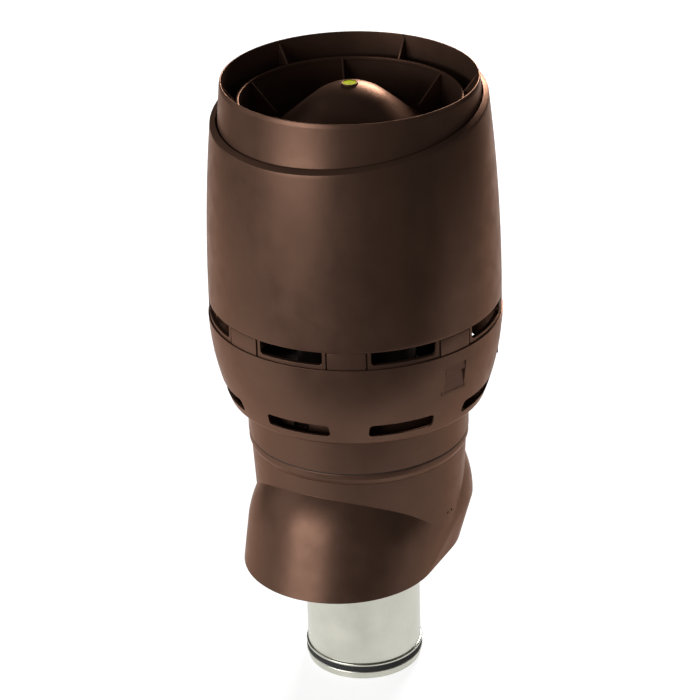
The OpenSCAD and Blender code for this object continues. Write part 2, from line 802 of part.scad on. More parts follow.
module level_lens() {
    color([0.85, 0.9, 0.5, 0.6]) translate([0, 0, lens_z]) cylinder(h = lens_t, r = level_r);
}

// Pan-head screws that go up through the ribs' plates into the dome's bosses
module dome_screws() {
    color(steel) for (i = [0:rib_count - 1])
        rotate([0, 0, i * rib_step]) translate([dome_r - screw_in, 0, plate_z]) difference() {
            union() {
                translate([0, 0, -screw_head_h / 2])
                    cylinder(h = screw_head_h / 2, d = screw_head_d, $fn = 32);
                translate([0, 0, -screw_head_h])
                    cylinder(h = screw_head_h / 2, d1 = screw_head_d - 2, d2 = screw_head_d, $fn = 32);
                cylinder(h = plate_t + screw_grip, r = screw_r, $fn = 32);
            }
            for (turn = [0, 90])
                rotate([0, 0, turn]) translate([-screw_r, -0.5, -screw_head_h - 1])
                    cube([screw_d, 1, 1 + screw_head_h / 2]);
        }
}

casing_skirt();
adapter_collar();
collar_gasket();
inner_duct();
duct_seal();
insulation_left();
insulation_right();
lower_closing_ring();
upper_closing_ring();
front_latch();
rear_latch();
hood_bowl();
hood_socket();
window_ring();
hood_shell();
top_collar();
inner_ring();
outer_ribs();
inner_ribs();
dome();
air_funnel();
funnel_struts();
level_housing();
level_liquid();
level_bubble();
level_lens();
dome_screws();
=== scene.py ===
"""Roof vent pipe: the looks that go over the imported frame, laid out as an add-on."""

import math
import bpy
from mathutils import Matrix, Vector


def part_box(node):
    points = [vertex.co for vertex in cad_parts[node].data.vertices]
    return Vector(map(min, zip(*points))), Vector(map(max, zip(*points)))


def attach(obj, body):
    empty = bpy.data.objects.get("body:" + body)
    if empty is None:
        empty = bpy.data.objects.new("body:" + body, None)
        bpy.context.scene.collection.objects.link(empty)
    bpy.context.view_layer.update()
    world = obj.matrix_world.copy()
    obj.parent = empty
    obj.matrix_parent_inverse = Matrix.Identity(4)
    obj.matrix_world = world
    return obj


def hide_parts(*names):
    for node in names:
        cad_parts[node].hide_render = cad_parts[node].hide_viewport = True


bl_info = {
    "name": "Roof vent pipe",
    "version": (1, 0, 0),
    "blender": (4, 5, 0),
    "location": "View3D > Sidebar > Vent pipe",
    "description": "Builds the duct, casing, hood, dome and level of a roof vent pipe",
    "category": "Object",
}

from contextlib import contextmanager

import bmesh
import bpy
from bpy.props import FloatProperty, FloatVectorProperty, IntProperty, PointerProperty
from mathutils import Matrix, Vector

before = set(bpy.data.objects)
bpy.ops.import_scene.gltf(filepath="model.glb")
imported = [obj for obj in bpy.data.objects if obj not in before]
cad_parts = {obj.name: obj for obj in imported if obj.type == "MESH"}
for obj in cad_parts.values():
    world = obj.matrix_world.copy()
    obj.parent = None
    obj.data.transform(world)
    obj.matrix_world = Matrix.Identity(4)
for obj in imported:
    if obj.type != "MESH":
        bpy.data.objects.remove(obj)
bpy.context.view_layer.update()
MM = 0.001
TURN = 2 * math.pi
WEDGES = 192


def box_radius(node):
    """Outer radius of a round CAD node, from its box."""
    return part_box(node)[1][0]


def box_top(node):
    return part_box(node)[1][2]


def box_low(node):
    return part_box(node)[0][2]


def length(name, text, default, low=0.0, high=1.0):
    return FloatProperty(name=name, description=text, default=default, min=low, max=high,
                         precision=4, subtype="DISTANCE", unit="LENGTH")


def turn_angle(name, text, degrees, low=-180, high=180):
    return FloatProperty(name=name, description=text, default=math.radians(degrees),
                         min=math.radians(low), max=math.radians(high),
                         subtype="ANGLE", unit="ROTATION")


def colour(name, text, rgb):
    return FloatVectorProperty(name=name, description=text, default=[channel(c) for c in rgb],
                               min=0, max=1, size=3, subtype="COLOR")


def channel(value):
    """An 8-bit display value as the linear value that a shader wants."""
    value /= 255
    return value / 12.92 if value <= 0.04045 else ((value + 0.055) / 1.055) ** 2.4


class VentPipeSizes(bpy.types.PropertyGroup):
    """Duct, casing and collar."""
    duct_wall: length("Duct wall", "Wall of the steel duct", 1 * MM)
    hem: length("Plain hem", "Plain end of the duct below the lower bead", 6 * MM)
    bead: length("Bead radius", "Radius of the two rolled beads", 2 * MM)
    seal_height: length("Seal height", "Height of the rubber seal between the beads", 5.6 * MM)
    seal_reach: length("Seal reach", "How far the seal stands off the duct", 1.7 * MM)
    casing_wall: length("Casing wall", "Wall of the casing and its skirt", 3 * MM)
    casing_top: length("Casing top", "Height of the seam under the collar", 273 * MM)
    casing_draft: FloatProperty(name="Casing draft", default=0.055, min=0, max=0.2,
                                description="Growth of the casing's radius per height")
    collar_bevel: length("Collar bevel", "Height of the slope under the collar's band", 6 * MM)
    edge: length("Edge rounding", "Rounding on moulded edges", 0.8 * MM)


class VentHoodSizes(bpy.types.PropertyGroup):
    """Bowl, window ring, shell and top."""
    wall: length("Hood wall", "Wall of the bowl and the shell", 2.6 * MM)
    bowl_curve: length("Bowl curve", "Radius of the bowl's curved side", 281.2 * MM)
    bowl_middle: length("Bowl middle", "Height where the bowl's side stands upright", 433.4 * MM)
    opening_count: IntProperty(name="Openings", description="Drain slots, and windows above them",
                               default=8, min=3, max=16)
    opening_width: length("Opening width", "Width of a drain slot and of a window", 70 * MM)
    slot_height: length("Slot height", "Height of a drain slot", 14.4 * MM)
    slot_low: length("Slot low edge", "Height of the drain slots' lower edge", 342 * MM)
    window_low: length("Window low edge", "Height of the windows' lower edge", 429.5 * MM)
    shell_foot: length("Shell foot", "Height of the shell's lower edge", 444 * MM)
    shell_curve: length("Shell curve", "Radius of the shell's side, seen from the side", 1.9, 0, 5)
    shoulder: length("Shoulder height", "Height of the slanted shoulder on the axis", 653.5 * MM)
    slant: turn_angle("Shoulder slant", "Slant of the shoulder", 8, 0, 20)
    slant_turn: turn_angle("Slant direction", "Direction of the shoulder's lowest place", -103)
    rib_count: IntProperty(name="Ribs", description="Ribs in each of the two rings of ribs",
                           default=6, min=3, max=12)
    rib_thickness: length("Rib thickness", "Thickness of a rib", 2 * MM)
    dome_round: length("Dome rounding", "Radius of the dome's rounded top", 60 * MM)
    dome_slope: turn_angle("Dome slope", "Slope of the dome's straight side", 40.2, 0, 80)


class VentFinish(bpy.types.PropertyGroup):
    """Colours and gloss."""
    brown: colour("Brown plastic", "Moulded plastic of the casing and the hood", (104, 78, 65))
    brown_roughness: FloatProperty(name="Plastic roughness", default=0.37, min=0.05, max=1,
                                   description="Satin gloss of the brown plastic",
                                   subtype="FACTOR")
    pearl: FloatProperty(name="Pearl", default=0.6, min=0, max=1, subtype="FACTOR",
                         description="Share of the gloss that takes the pigment's own colour")
    dark: colour("Dark plastic", "Plastic of the inner pieces", (44, 35, 31))
    steel: colour("Duct steel", "Galvanised steel of the duct", (201, 200, 188))
    rubber: colour("Rubber", "Seal and gasket", (24, 23, 23))
    foam: colour("Insulation", "Foam between duct and casing", (222, 221, 214))
    liquid: colour("Level liquid", "Liquid of the spirit level", (205, 210, 20))
    screws: colour("Screws", "Zinc-plated screws", (176, 176, 174))


# ---------------------------------------------------------------- meshes

def rounded(corners, steps=4):
    """Closed outline from corners (r, z) or (r, z, radius), with the radius rounding the corner."""
    points = []
    for i, corner in enumerate(corners):
        here = Vector(corner[:2])
        if len(corner) < 3:
            points.append(here)
            continue
        to_last = Vector(corners[i - 1][:2]) - here
        to_next = Vector(corners[(i + 1) % len(corners)][:2]) - here
        half = to_last.angle(to_next) / 2
        back = min(corner[2] / math.tan(half), to_last.length * 0.49, to_next.length * 0.49)
        radius = back * math.tan(half)
        middle = (to_last.normalized() + to_next.normalized()).normalized()
        centre = here + middle * (radius / math.sin(half))
        start = here + to_last.normalized() * back - centre
        end = here + to_next.normalized() * back - centre
        sweep = math.atan2(start.cross(end), start.dot(end))
        for k in range(steps + 1):
            a = sweep * k / steps
            points.append(centre + Vector((start.x * math.cos(a) - start.y * math.sin(a),
                                           start.x * math.sin(a) + start.y * math.cos(a))))
    return points


def new_object(name, mesh):
    piece = bpy.data.objects.new(name, mesh)
    bpy.context.scene.collection.objects.link(piece)
    return piece


def new_mesh(name, verts=(), faces=()):
    mesh = bpy.data.meshes.new(name)
    mesh.from_pydata(verts, [], faces)
    return mesh


@contextmanager
def edited(mesh):
    """The mesh opened for editing, and written back at the end."""
    bm = bmesh.new()
    bm.from_mesh(mesh)
    yield bm
    bm.to_mesh(mesh)
    bm.free()


def tidy(mesh, angle=35, outward=True):
    """Closes doubles, points the faces outwards and shades smooth up to an angle."""
    with edited(mesh) as bm:
        bmesh.ops.remove_doubles(bm, verts=bm.verts, dist=1e-6)
        if outward:
            bmesh.ops.recalc_face_normals(bm, faces=bm.faces)
    mesh.shade_smooth()
    mesh.set_sharp_from_angle(angle=math.radians(angle))
    return mesh


def turned_mesh(name, outline, wedges=WEDGES, first=0.0, sweep=TURN):
    """A closed outline of (radius, height) turned round the Z axis, or through part of a turn."""
    whole = abs(sweep - TURN) < 1e-6
    rings = wedges if whole else wedges + 1
    count = len(outline)
    verts = []
    for k in range(rings):
        a = first + sweep * k / wedges
        verts += [(r * math.cos(a), r * math.sin(a), z) for r, z in outline]
    faces = []
    for k in range(wedges):
        near, far = k * count, (k + 1) % rings * count
        faces += [(near + i, far + i, far + (i + 1) % count, near + (i + 1) % count)
                  for i in range(count)]
    if not whole:
        faces.append(tuple(range(count)))
        faces.append(tuple(range((rings - 1) * count, rings * count)))
    return tidy(new_mesh(name, verts, faces))


def turned(name, outline, wedges=WEDGES):
    return new_object(name, turned_mesh(name, outline, wedges))


def prism_faces(count):
    """Faces of a prism with this many points in each of its two outlines."""
    faces = [(i, (i + 1) % count, count + (i + 1) % count, count + i) for i in range(count)]
    return faces + [tuple(range(count)), tuple(range(count, 2 * count))]


def prism_mesh(name, outline, near, far, angle):
    """An outline of (sideways, height) drawn outwards at an angle, from near to far."""
    out = Vector((math.cos(angle), math.sin(angle), 0))
    side = Vector((-math.sin(angle), math.cos(angle), 0))
    verts = [out * r + side * t + Vector((0, 0, z)) for r in (near, far) for t, z in outline]
    return tidy(new_mesh(name, verts, prism_faces(len(outline))))


def opening_outline(width, low, high, corner, round_top=True):
    """Outline of an opening with rounded lower corners, and rounded upper ones where asked for."""
    top = (corner,) if round_top else ()
    return rounded([(-width / 2, low, corner), (width / 2, low, corner),
                    (width / 2, high, *top), (-width / 2, high, *top)], 6)


def box_outline(left, right, low, high, corner=None):
    """Outline of a rectangle, with rounded corners where a radius is given."""
    radius = () if corner is None else (corner,)
    return rounded([(left, low, *radius), (right, low, *radius),
                    (right, high, *radius), (left, high, *radius)])


def plate_mesh(name, outline, thick):
    """An upright plate in the XZ plane from an outline of (radius, height), with softened edges."""
    bevel = 0.3 * MM
    verts = [(r, y, z) for y in (-thick / 2, thick / 2) for r, z in outline]
    mesh = new_mesh(name, verts, prism_faces(len(outline)))
    with edited(mesh) as bm:
        bmesh.ops.recalc_face_normals(bm, faces=bm.faces)
        rims = [e for e in bm.edges if abs(e.verts[0].co.y - e.verts[1].co.y) < 1e-7]
        bmesh.ops.bevel(bm, geom=rims, offset=bevel, segments=2, profile=0.5, affect="EDGES")
    return tidy(mesh)


def joined(name, meshes):
    """One mesh from several, which are then removed."""
    whole = new_mesh(name)
    with edited(whole) as bm:
        for mesh in meshes:
            bm.from_mesh(mesh)
            bpy.data.meshes.remove(mesh)
    return whole


def applied(piece, angle=35, outward=False):
    """The piece's modifiers made into its mesh."""
    evaluated = piece.evaluated_get(bpy.context.evaluated_depsgraph_get())
    mesh = bpy.data.meshes.new_from_object(evaluated)
    mesh.name = piece.name
    piece.modifiers.clear()
    old, piece.data = piece.data, mesh
    bpy.data.meshes.remove(old)
    tidy(piece.data, angle, outward)
    return piece


def combined(piece, meshes, operation="DIFFERENCE", angle=35):
    """Cuts the meshes out of the piece, or adds them to it."""
    tools = [new_object("tool", mesh) for mesh in meshes]
    for tool in tools:
        step = piece.modifiers.new("step", "BOOLEAN")
        step.operation = operation
        step.solver = "EXACT"
        step.object = tool
    applied(piece, angle)
    for tool in tools:
        mesh = tool.data
        bpy.data.objects.remove(tool)
        bpy.data.meshes.remove(mesh)
    return piece


def cad_copy(name, node):
    """A smooth copy of a CAD node's mesh."""
    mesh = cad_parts[node].data.copy()
    mesh.name = name
    mesh.materials.clear()
    return new_object(name, tidy(mesh, outward=False))


# The finish that goes with each material slot of the record
FINISHES = {"brown_plastic": "brown plastic", "dark_plastic": "dark plastic",
            "duct_steel": "duct steel", "rubber": "rubber", "screw_steel": "screw zinc",
            "level_green": "level liquid", "clear_lens": "level lens"}


def place(piece, body, nodes, slot, finish=None):
    """Gives a finished piece its material and its body, and hides the CAD nodes that it stands for.
    """
    piece.data.materials.clear()
    piece.data.materials.append(material(finish or FINISHES[slot]))
    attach(piece, body)
    if nodes:
        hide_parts(*nodes)
    return piece


# ---------------------------------------------------------------- node trees

class Tree:
    """A node tree in the making: numbers and sockets both go in as inputs."""

    def __init__(self, tree):
        self.tree = tree

    def add(self, kind, *inputs, out=0, **settings):
        node = self.tree.nodes.new(kind)
        for key, value in settings.items():
            setattr(node, key, value)
        for i, value in enumerate(inputs):
            if value is None:
                continue
            if isinstance(value, bpy.types.NodeSocket):
                self.tree.links.new(value, node.inputs[i])
            else:
                node.inputs[i].default_value = value
        return node.outputs[out]

    def math(self, operation, *values):
        return self.add("ShaderNodeMath", *values, operation=operation)


def geometry_tree(name, inputs):
    """A geometry node tree with a geometry input, the named inputs and a geometry output."""
    group = bpy.data.node_groups.new(name, "GeometryNodeTree")
    face = group.interface
    face.new_socket("Geometry", in_out="INPUT", socket_type="NodeSocketGeometry")
    for label, kind in inputs:
        face.new_socket(label, in_out="INPUT", socket_type=kind)
    face.new_socket("Geometry", in_out="OUTPUT", socket_type="NodeSocketGeometry")
    start = group.nodes.new("NodeGroupInput")
    end = group.nodes.new("NodeGroupOutput")
    return Tree(group), start.outputs, end.inputs


def close_tree(tree, geometry, material, end):
    """Makes the geometry real, gives it the material and hands it to the output."""
    real = tree.add("GeometryNodeRealizeInstances", geometry)
    done = tree.add("GeometryNodeSetMaterial", real, None, material)
    tree.tree.links.new(done, end[0])
    return tree.tree


def around_axis_tree():
    """Copies of the piece, evenly spaced round the Z axis."""
    tree, start, end = geometry_tree("Around the axis", [
        ("Count", "NodeSocketInt"), ("First angle", "NodeSocketFloat"),
        ("Material", "NodeSocketMaterial")])
    points = tree.add("GeometryNodePoints", start["Count"])
    index = tree.add("GeometryNodeInputIndex")
    step = tree.math("DIVIDE", TURN, start["Count"])
    angle = tree.math("ADD", tree.math("MULTIPLY", index, step), start["First angle"])
    turn = tree.add("ShaderNodeCombineXYZ", 0.0, 0.0, angle)
    spin = tree.add("FunctionNodeEulerToRotation", turn)
    copies = tree.add("GeometryNodeInstanceOnPoints", points, None, start["Geometry"],
                      None, None, spin)
    return close_tree(tree, copies, start["Material"], end)


def slanted_shell_tree():
    """Turns the outline in the piece's own mesh round the Z axis, and slants its upper part."""
    tree, start, end = geometry_tree("Slanted shell", [
        ("Wedges", "NodeSocketInt"), ("Slant", "NodeSocketFloat"),
        ("Lowest direction", "NodeSocketFloat"), ("Slant starts", "NodeSocketFloat"),
        ("Slant is full", "NodeSocketFloat"), ("Foot height", "NodeSocketFloat"),
        ("Side curve", "NodeSocketFloat"), ("Material", "NodeSocketMaterial")])
    m = tree.math
    rows = tree.add("GeometryNodeAttributeDomainSize", start["Geometry"])
    per_row = m("ADD", start["Wedges"], 1)
    grid = tree.add("GeometryNodeMeshGrid", 1.0, 1.0, m("ADD", rows, 1), per_row)
    index = tree.add("GeometryNodeInputIndex")
    row = m("FLOOR", m("DIVIDE", m("ADD", index, 0.5), per_row))
    column = m("SUBTRACT", index, m("MULTIPLY", row, per_row))
    around = tree.add("ShaderNodeSeparateXYZ", tree.add(
        "GeometryNodeSampleIndex", start["Geometry"], tree.add("GeometryNodeInputPosition"),
        m("FLOORED_MODULO", row, rows), data_type="FLOAT_VECTOR")).node.outputs
    radius, height = around[0], around[2]
    angle = m("MULTIPLY", m("DIVIDE", column, start["Wedges"]), TURN)
    uphill = m("MULTIPLY", m("COSINE", m("SUBTRACT", angle, start["Lowest direction"])), -1)
    weight = tree.add("ShaderNodeMapRange", height, start["Slant starts"], start["Slant is full"],
                      0.0, 1.0)
    rise = m("MULTIPLY", m("MULTIPLY", m("TANGENT", start["Slant"]), weight),
             m("MULTIPLY", radius, uphill))
    new_height = m("ADD", height, rise)
    before = m("POWER", m("SUBTRACT", height, start["Foot height"]), 2)
    after = m("POWER", m("SUBTRACT", new_height, start["Foot height"]), 2)
    shrink = m("DIVIDE", m("SUBTRACT", before, after), m("MULTIPLY", start["Side curve"], 2))
    new_radius = m("ADD", radius, shrink)
    position = tree.add("ShaderNodeCombineXYZ", m("MULTIPLY", new_radius, m("COSINE", angle)),
                        m("MULTIPLY", new_radius, m("SINE", angle)), new_height)
    moved = tree.add("GeometryNodeSetPosition", grid, None, position)
    merged = tree.add("GeometryNodeMergeByDistance", moved, None, 1e-5)
    return close_tree(tree, merged, start["Material"], end)


def grown(name, mesh, tree, values, outward=False):
    """A piece that a geometry node tree makes from a mesh, as a plain mesh."""
    piece = new_object(name, mesh)
    step = piece.modifiers.new(tree.name, "NODES")
    step.node_group = tree
    for socket in tree.interface.items_tree:
        if socket.item_type == "SOCKET" and socket.in_out == "INPUT" and socket.name in values:
            step[socket.identifier] = values[socket.name]
    return applied(piece, outward=outward)


def repeated(name, mesh, count, first, finish="brown plastic"):
    """The mesh a number of times round the Z axis, from a first angle on."""
    tree = bpy.data.node_groups.get("Around the axis") or around_axis_tree()
    return grown(name, mesh, tree, {
        "Count": count, "First angle": first, "Material": material(finish)})


# ---------------------------------------------------------------- materials

INPUT_NAMES = {"base": "Base Color", "metallic": "Metallic", "alpha": "Alpha",
               "roughness": "Roughness", "specular": "Specular IOR Level",
               "tint": "Specular Tint", "glow_colour": "Emission Color",
               "glow": "Emission Strength"}


def new_material(name, **values):
    """A material, its tree, its shader with the values set, and object coordinates."""
    material = bpy.data.materials.new(name)
    material.use_nodes = True
    material.node_tree.nodes.clear()
    tree = Tree(material.node_tree)
    shader = material.node_tree.nodes.new("ShaderNodeBsdfPrincipled")
    end = material.node_tree.nodes.new("ShaderNodeOutputMaterial")
    material.node_tree.links.new(shader.outputs[0], end.inputs["Surface"])
    for label, value in values.items():
        shader.inputs[INPUT_NAMES[label]].default_value = value
    place_on = tree.add("ShaderNodeTexCoord").node.outputs["Object"]
    return material, tree, shader, place_on


def noise(tree, where, scale, detail=2.0, roughness=0.5):
    node = tree.tree.nodes.new("ShaderNodeTexNoise")
    node.inputs["Scale"].default_value = scale
    node.inputs["Detail"].default_value = detail
    node.inputs["Roughness"].default_value = roughness
    tree.tree.links.new(where, node.inputs["Vector"])
    return node.outputs["Fac"]


def span(tree, value, low, high, new_low, new_high):
    """A value's range stretched to a new range."""
    return tree.add("ShaderNodeMapRange", value, low, high, new_low, new_high)


def shades(tree, value, dark, light):
    """A colour between two shades, by a value from 0.35 to 0.65."""
    node = tree.tree.nodes.new("ShaderNodeValToRGB")
    node.color_ramp.elements[0].position = 0.35
    node.color_ramp.elements[0].color = (*dark, 1)
    node.color_ramp.elements[1].position = 0.65
    node.color_ramp.elements[1].color = (*light, 1)
    tree.tree.links.new(value, node.inputs[0])
    return node.outputs[0]


def link(tree, value, shader, name):
    tree.tree.links.new(value, shader.inputs[name])


def relief(tree, shader, value, depth, strength, edge=0.0):
    """Fine relief from a value, over edges softened by a small radius."""
    node = tree.tree.nodes.new("ShaderNodeBump")
    node.inputs["Strength"].default_value = strength
    node.inputs["Distance"].default_value = depth
    tree.tree.links.new(value, node.inputs["Height"])
    if edge:
        soft = tree.tree.nodes.new("ShaderNodeBevel")
        soft.samples = 6
        soft.inputs["Radius"].default_value = edge
        tree.tree.links.new(soft.outputs[0], node.inputs["Normal"])
    tree.tree.links.new(node.outputs[0], shader.inputs["Normal"])


def times(rgb, factor):
    return [c * factor for c in rgb]


def moulded_plastic(name, rgb, roughness, pearl, grain):
    """Satin moulded plastic: a fine eroded grain, with slight flow shades and gloss changes."""
    material, tree, shader, where = new_material(
        name, metallic=pearl, specular=0.06, tint=(0.9, 0.62, 0.5, 1))
    flow = noise(tree, where, 14, 3, 0.55)
    link(tree, shades(tree, flow, times(rgb, 0.93), times(rgb, 1.06)), shader, "Base Color")
    haze = noise(tree, where, 55, 3)
    link(tree, span(tree, haze, 0.3, 0.7, roughness - 0.04, roughness + 0.05), shader, "Roughness")
    relief(tree, shader, noise(tree, where, 1400, 2, 0.6), grain, 0.5, 0.7 * MM)
    return material


def duct_steel(finish):
    """Galvanised sheet: rolled lines round the duct, and faint cloudy zinc."""
    material, tree, shader, where = new_material("duct steel", metallic=1.0)
    stretched = tree.add("ShaderNodeMapping", where, None, None, (0.06, 0.06, 1.0))
    rolled = noise(tree, stretched, 900, 3, 0.6)
    cloud = noise(tree, where, 30, 4, 0.6)
    rgb = list(finish.steel)
    link(tree, shades(tree, cloud, times(rgb, 0.93), times(rgb, 1.04)), shader, "Base Color")
    link(tree, span(tree, cloud, 0.3, 0.7, 0.27, 0.37), shader, "Roughness")
    relief(tree, shader, rolled, 0.02 * MM, 0.35, 0.4 * MM)
    return material


def rubber(name, rgb):
    """Dull rubber with a slightly dusty skin."""
    material, tree, shader, where = new_material(name, specular=0.35)
    dust = noise(tree, where, 220, 4, 0.65)
    link(tree, shades(tree, dust, times(rgb, 0.8), times(rgb, 1.5)), shader, "Base Color")
    link(tree, span(tree, dust, 0.3, 0.7, 0.55, 0.75), shader, "Roughness")
    relief(tree, shader, noise(tree, where, 1800, 2), 0.04 * MM, 0.6, 0.3 * MM)
    return material


def foam(finish):
    """Moulded insulation: closed beads that show as small cells."""
    material, tree, shader, where = new_material("insulation foam")
    cells = tree.tree.nodes.new("ShaderNodeTexVoronoi")
    cells.inputs["Scale"].default_value = 330
    tree.tree.links.new(where, cells.inputs["Vector"])
    rgb = list(finish.foam)
    link(tree, shades(tree, cells.outputs["Distance"], rgb, times(rgb, 0.8)), shader, "Base Color")
    link(tree, span(tree, cells.outputs["Distance"], 0.0, 0.6, 0.75, 0.95), shader, "Roughness")
    relief(tree, shader, cells.outputs["Distance"], 0.4 * MM, 0.6)
    return material


def zinc_screw(finish):
    """Zinc-plated steel with a faint yellow cast in places."""
    material, tree, shader, where = new_material("screw zinc", metallic=1.0)
    cloud = noise(tree, where, 260, 4, 0.6)
    rgb = list(finish.screws)
    warm = [rgb[0] * 1.05, rgb[1] * 0.98, rgb[2] * 0.85]
    link(tree, shades(tree, cloud, rgb, warm), shader, "Base Color")
    link(tree, span(tree, cloud, 0.3, 0.7, 0.25, 0.4), shader, "Roughness")
    return material


def level_liquid(finish):
    """The yellow-green liquid of a spirit level, slightly cloudy, with a faint painted glow that
    lights it beyond the lamps.
    """
    rgb = list(finish.liquid)
    # glow_colour and glow make the liquid shine by itself: painted light, not a lamp
    material, tree, shader, where = new_material(
        "level liquid", specular=0.1, glow_colour=(*rgb, 1), glow=0.5)
    depth = noise(tree, where, 60, 2)
    link(tree, shades(tree, depth, times(rgb, 0.9), rgb), shader, "Base Color")
    link(tree, span(tree, depth, 0.3, 0.7, 0.45, 0.55), shader, "Roughness")
    return material


def clear_plastic(name, rgb, alpha):
    """Clear moulded plastic with a slightly uneven surface."""
    material, tree, shader, where = new_material(
        name, base=(*rgb, 1), alpha=alpha, specular=0.0)
    link(tree, span(tree, noise(tree, where, 300, 2), 0.3, 0.7, 0.1, 0.18), shader, "Roughness")
    return material


def material(name):
    """One of the object's finishes, made on first use."""
    found = bpy.data.materials.get(name)
    if found:
        return found
    finish = bpy.context.scene.vent_finish
    makers = {
        "brown plastic": lambda: moulded_plastic(
            name, list(finish.brown), finish.brown_roughness, finish.pearl, 0.05 * MM),
        "dark plastic": lambda: moulded_plastic(name, list(finish.dark), 0.5, 0.2, 0.05 * MM),
        "duct steel": lambda: duct_steel(finish),
        "rubber": lambda: rubber(name, list(finish.rubber)),
        "brown rubber": lambda: rubber(name, times(finish.dark, 1.6)),
        "insulation foam": lambda: foam(finish),
        "screw zinc": lambda: zinc_screw(finish),
        "level liquid": lambda: level_liquid(finish),
        "level lens": lambda: clear_plastic(name, (0.7, 0.72, 0.05), 0.25),
        "level bubble": lambda: clear_plastic(name, (0.8, 0.84, 0.2), 0.4),
    }
    return makers[name]()


def refinish(node, name):
    """Gives a CAD node that stays in the scene one of the object's finishes."""
    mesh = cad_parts[node].data
    mesh.materials.clear()
    mesh.materials.append(material(name))


# ---------------------------------------------------------------- outlines of this object

# Bowl and its neck
BOWL_R = 154.9 * MM
BOWL_TOP = 425 * MM
BOWL_EDGE = 6.2 * MM
NECK_IN = 115 * MM
NECK_R = 118 * MM
NECK_LOW = 286.7 * MM
UNDERSIDE = 330 * MM
FLOOR = UNDERSIDE + 2.6 * MM
# Square flats in the bowl's sides, with a clip block in each
FLAT_LOW = 380.5 * MM
FLAT_WIDE = 28 * MM
FLAT_HIGH = 30.5 * MM
FLAT_TURN = math.radians(22.5)
# Collar's band and spigot, the hood's socket round it, and the latch windows in both
BAND_HIGH = 12.5 * MM
SPIGOT_R = 114.5 * MM
SPIGOT_WALL = 3 * MM
SPIGOT_TOP = 350 * MM
SOCKET_IN = 117.2 * MM
SOCKET_R = 119.8 * MM
SOCKET_TOP = 348 * MM
LATCH_WIDE = 18 * MM
LATCH_LOW = 334 * MM
LATCH_HIGH = 341.6 * MM
LATCH_TURN = math.radians(-3.2)
# Casing's skirt, in millimetres: lobes as (place along Y, height, radius, rise), hem ends as
# (place along Y, radius)
LOBES = ((-36.4, 176, 106.4, 113.8), (21.6, 193, 113, 113))
HEM_ENDS = ((-50.2, 104.8), (7.8, 104.8))
HEM_Z = 150
VALLEY_Z = 178
# Top collar and inner ring
RIM_R = 132.4 * MM
RIM_Z = 681.6 * MM
TOP_LOW = 592 * MM
TOP_DRAFT = 0.086
RING_IN = 114 * MM
RING_R = 116 * MM
RING_LOW = 520 * MM
RING_TOP = 660 * MM
# Dome and its screws
DOME_R = 97 * MM
DOME_TOP = 674 * MM
DOME_RIM = 8 * MM
DOME_WALL = 2 * MM
SCREW_AT = 84 * MM
PLATE_THICK = 3 * MM
# Air funnel
FUNNEL_IN = 64.5 * MM
FUNNEL_MOUTH = 88 * MM
FUNNEL_WALL = 2 * MM
FUNNEL_LOW = 440 * MM
FUNNEL_KNEE = 500 * MM
FUNNEL_TOP = 570 * MM


def casing_radius(z):
    """Outer radius of the casing's cone at a height."""
    sizes = bpy.context.scene.vent_pipe
    return box_radius("adapter_collar") - 2.4 * MM - sizes.casing_draft * (sizes.casing_top - z)


def shell_radius(z):
    """Outer radius of the shell at a height, before the shoulder's slant."""
    hood = bpy.context.scene.vent_hood
    return box_radius("hood_shell") - (z - hood.shell_foot) ** 2 / (2 * hood.shell_curve)


def bowl_radius(z):
    """Outer radius of the bowl at a height."""
    hood = bpy.context.scene.vent_hood
    return (BOWL_R - hood.bowl_curve
            + math.sqrt(hood.bowl_curve ** 2 - (hood.bowl_middle - z) ** 2))


def latch_windows(near, far):
    """Cutters for the front and the rear latch window."""
    outline = opening_outline(LATCH_WIDE, LATCH_LOW, LATCH_HIGH, 1 * MM)
    return [prism_mesh("window", outline, near, far, LATCH_TURN + side)
            for side in (-math.pi / 2, math.pi / 2)]


def at_screw(mesh):
    """Moves a mesh from the axis out to the place of the first dome screw."""
    mesh.transform(Matrix.Translation((SCREW_AT, 0, 0)))
    return mesh


def top_radius(z):
    """Outer radius of the top collar at a height."""
    return RIM_R + TOP_DRAFT * (RIM_Z - z)


def dome_height(r, inset=0.0):
    """Height of the dome's surface at a radius."""
    hood = bpy.context.scene.vent_hood
    ball, slope = hood.dome_round - inset, hood.dome_slope
    centre = DOME_TOP - hood.dome_round
    if r < ball * math.sin(slope):
        return centre + math.sqrt(ball ** 2 - r ** 2)
    return centre + ball * math.cos(slope) - (r - ball * math.sin(slope)) * math.tan(slope)


def bowl_side(inset, steps):
    """The bowl's side from the underside up, set back by an inset."""
    hood = bpy.context.scene.vent_hood
    curve, middle = hood.bowl_curve, hood.bowl_middle
    centre = BOWL_R - curve
    low = math.asin((middle - UNDERSIDE - BOWL_EDGE) / (curve - BOWL_EDGE))
    high = math.asin((middle - BOWL_TOP) / (curve - inset))
    edge_r = centre + (curve - BOWL_EDGE) * math.cos(low)
    edge_z = UNDERSIDE + BOWL_EDGE
    points = []
    for i in range(8):
        a = math.pi / 2 - (math.pi / 2 - low) * i / 8
        points.append((edge_r + (BOWL_EDGE - inset) * math.cos(a),
                       edge_z - (BOWL_EDGE - inset) * math.sin(a)))
    for i in range(steps + 1):
        a = low + (high - low) * i / steps
        points.append((centre + (curve - inset) * math.cos(a),
                       middle - (curve - inset) * math.sin(a)))
    return points


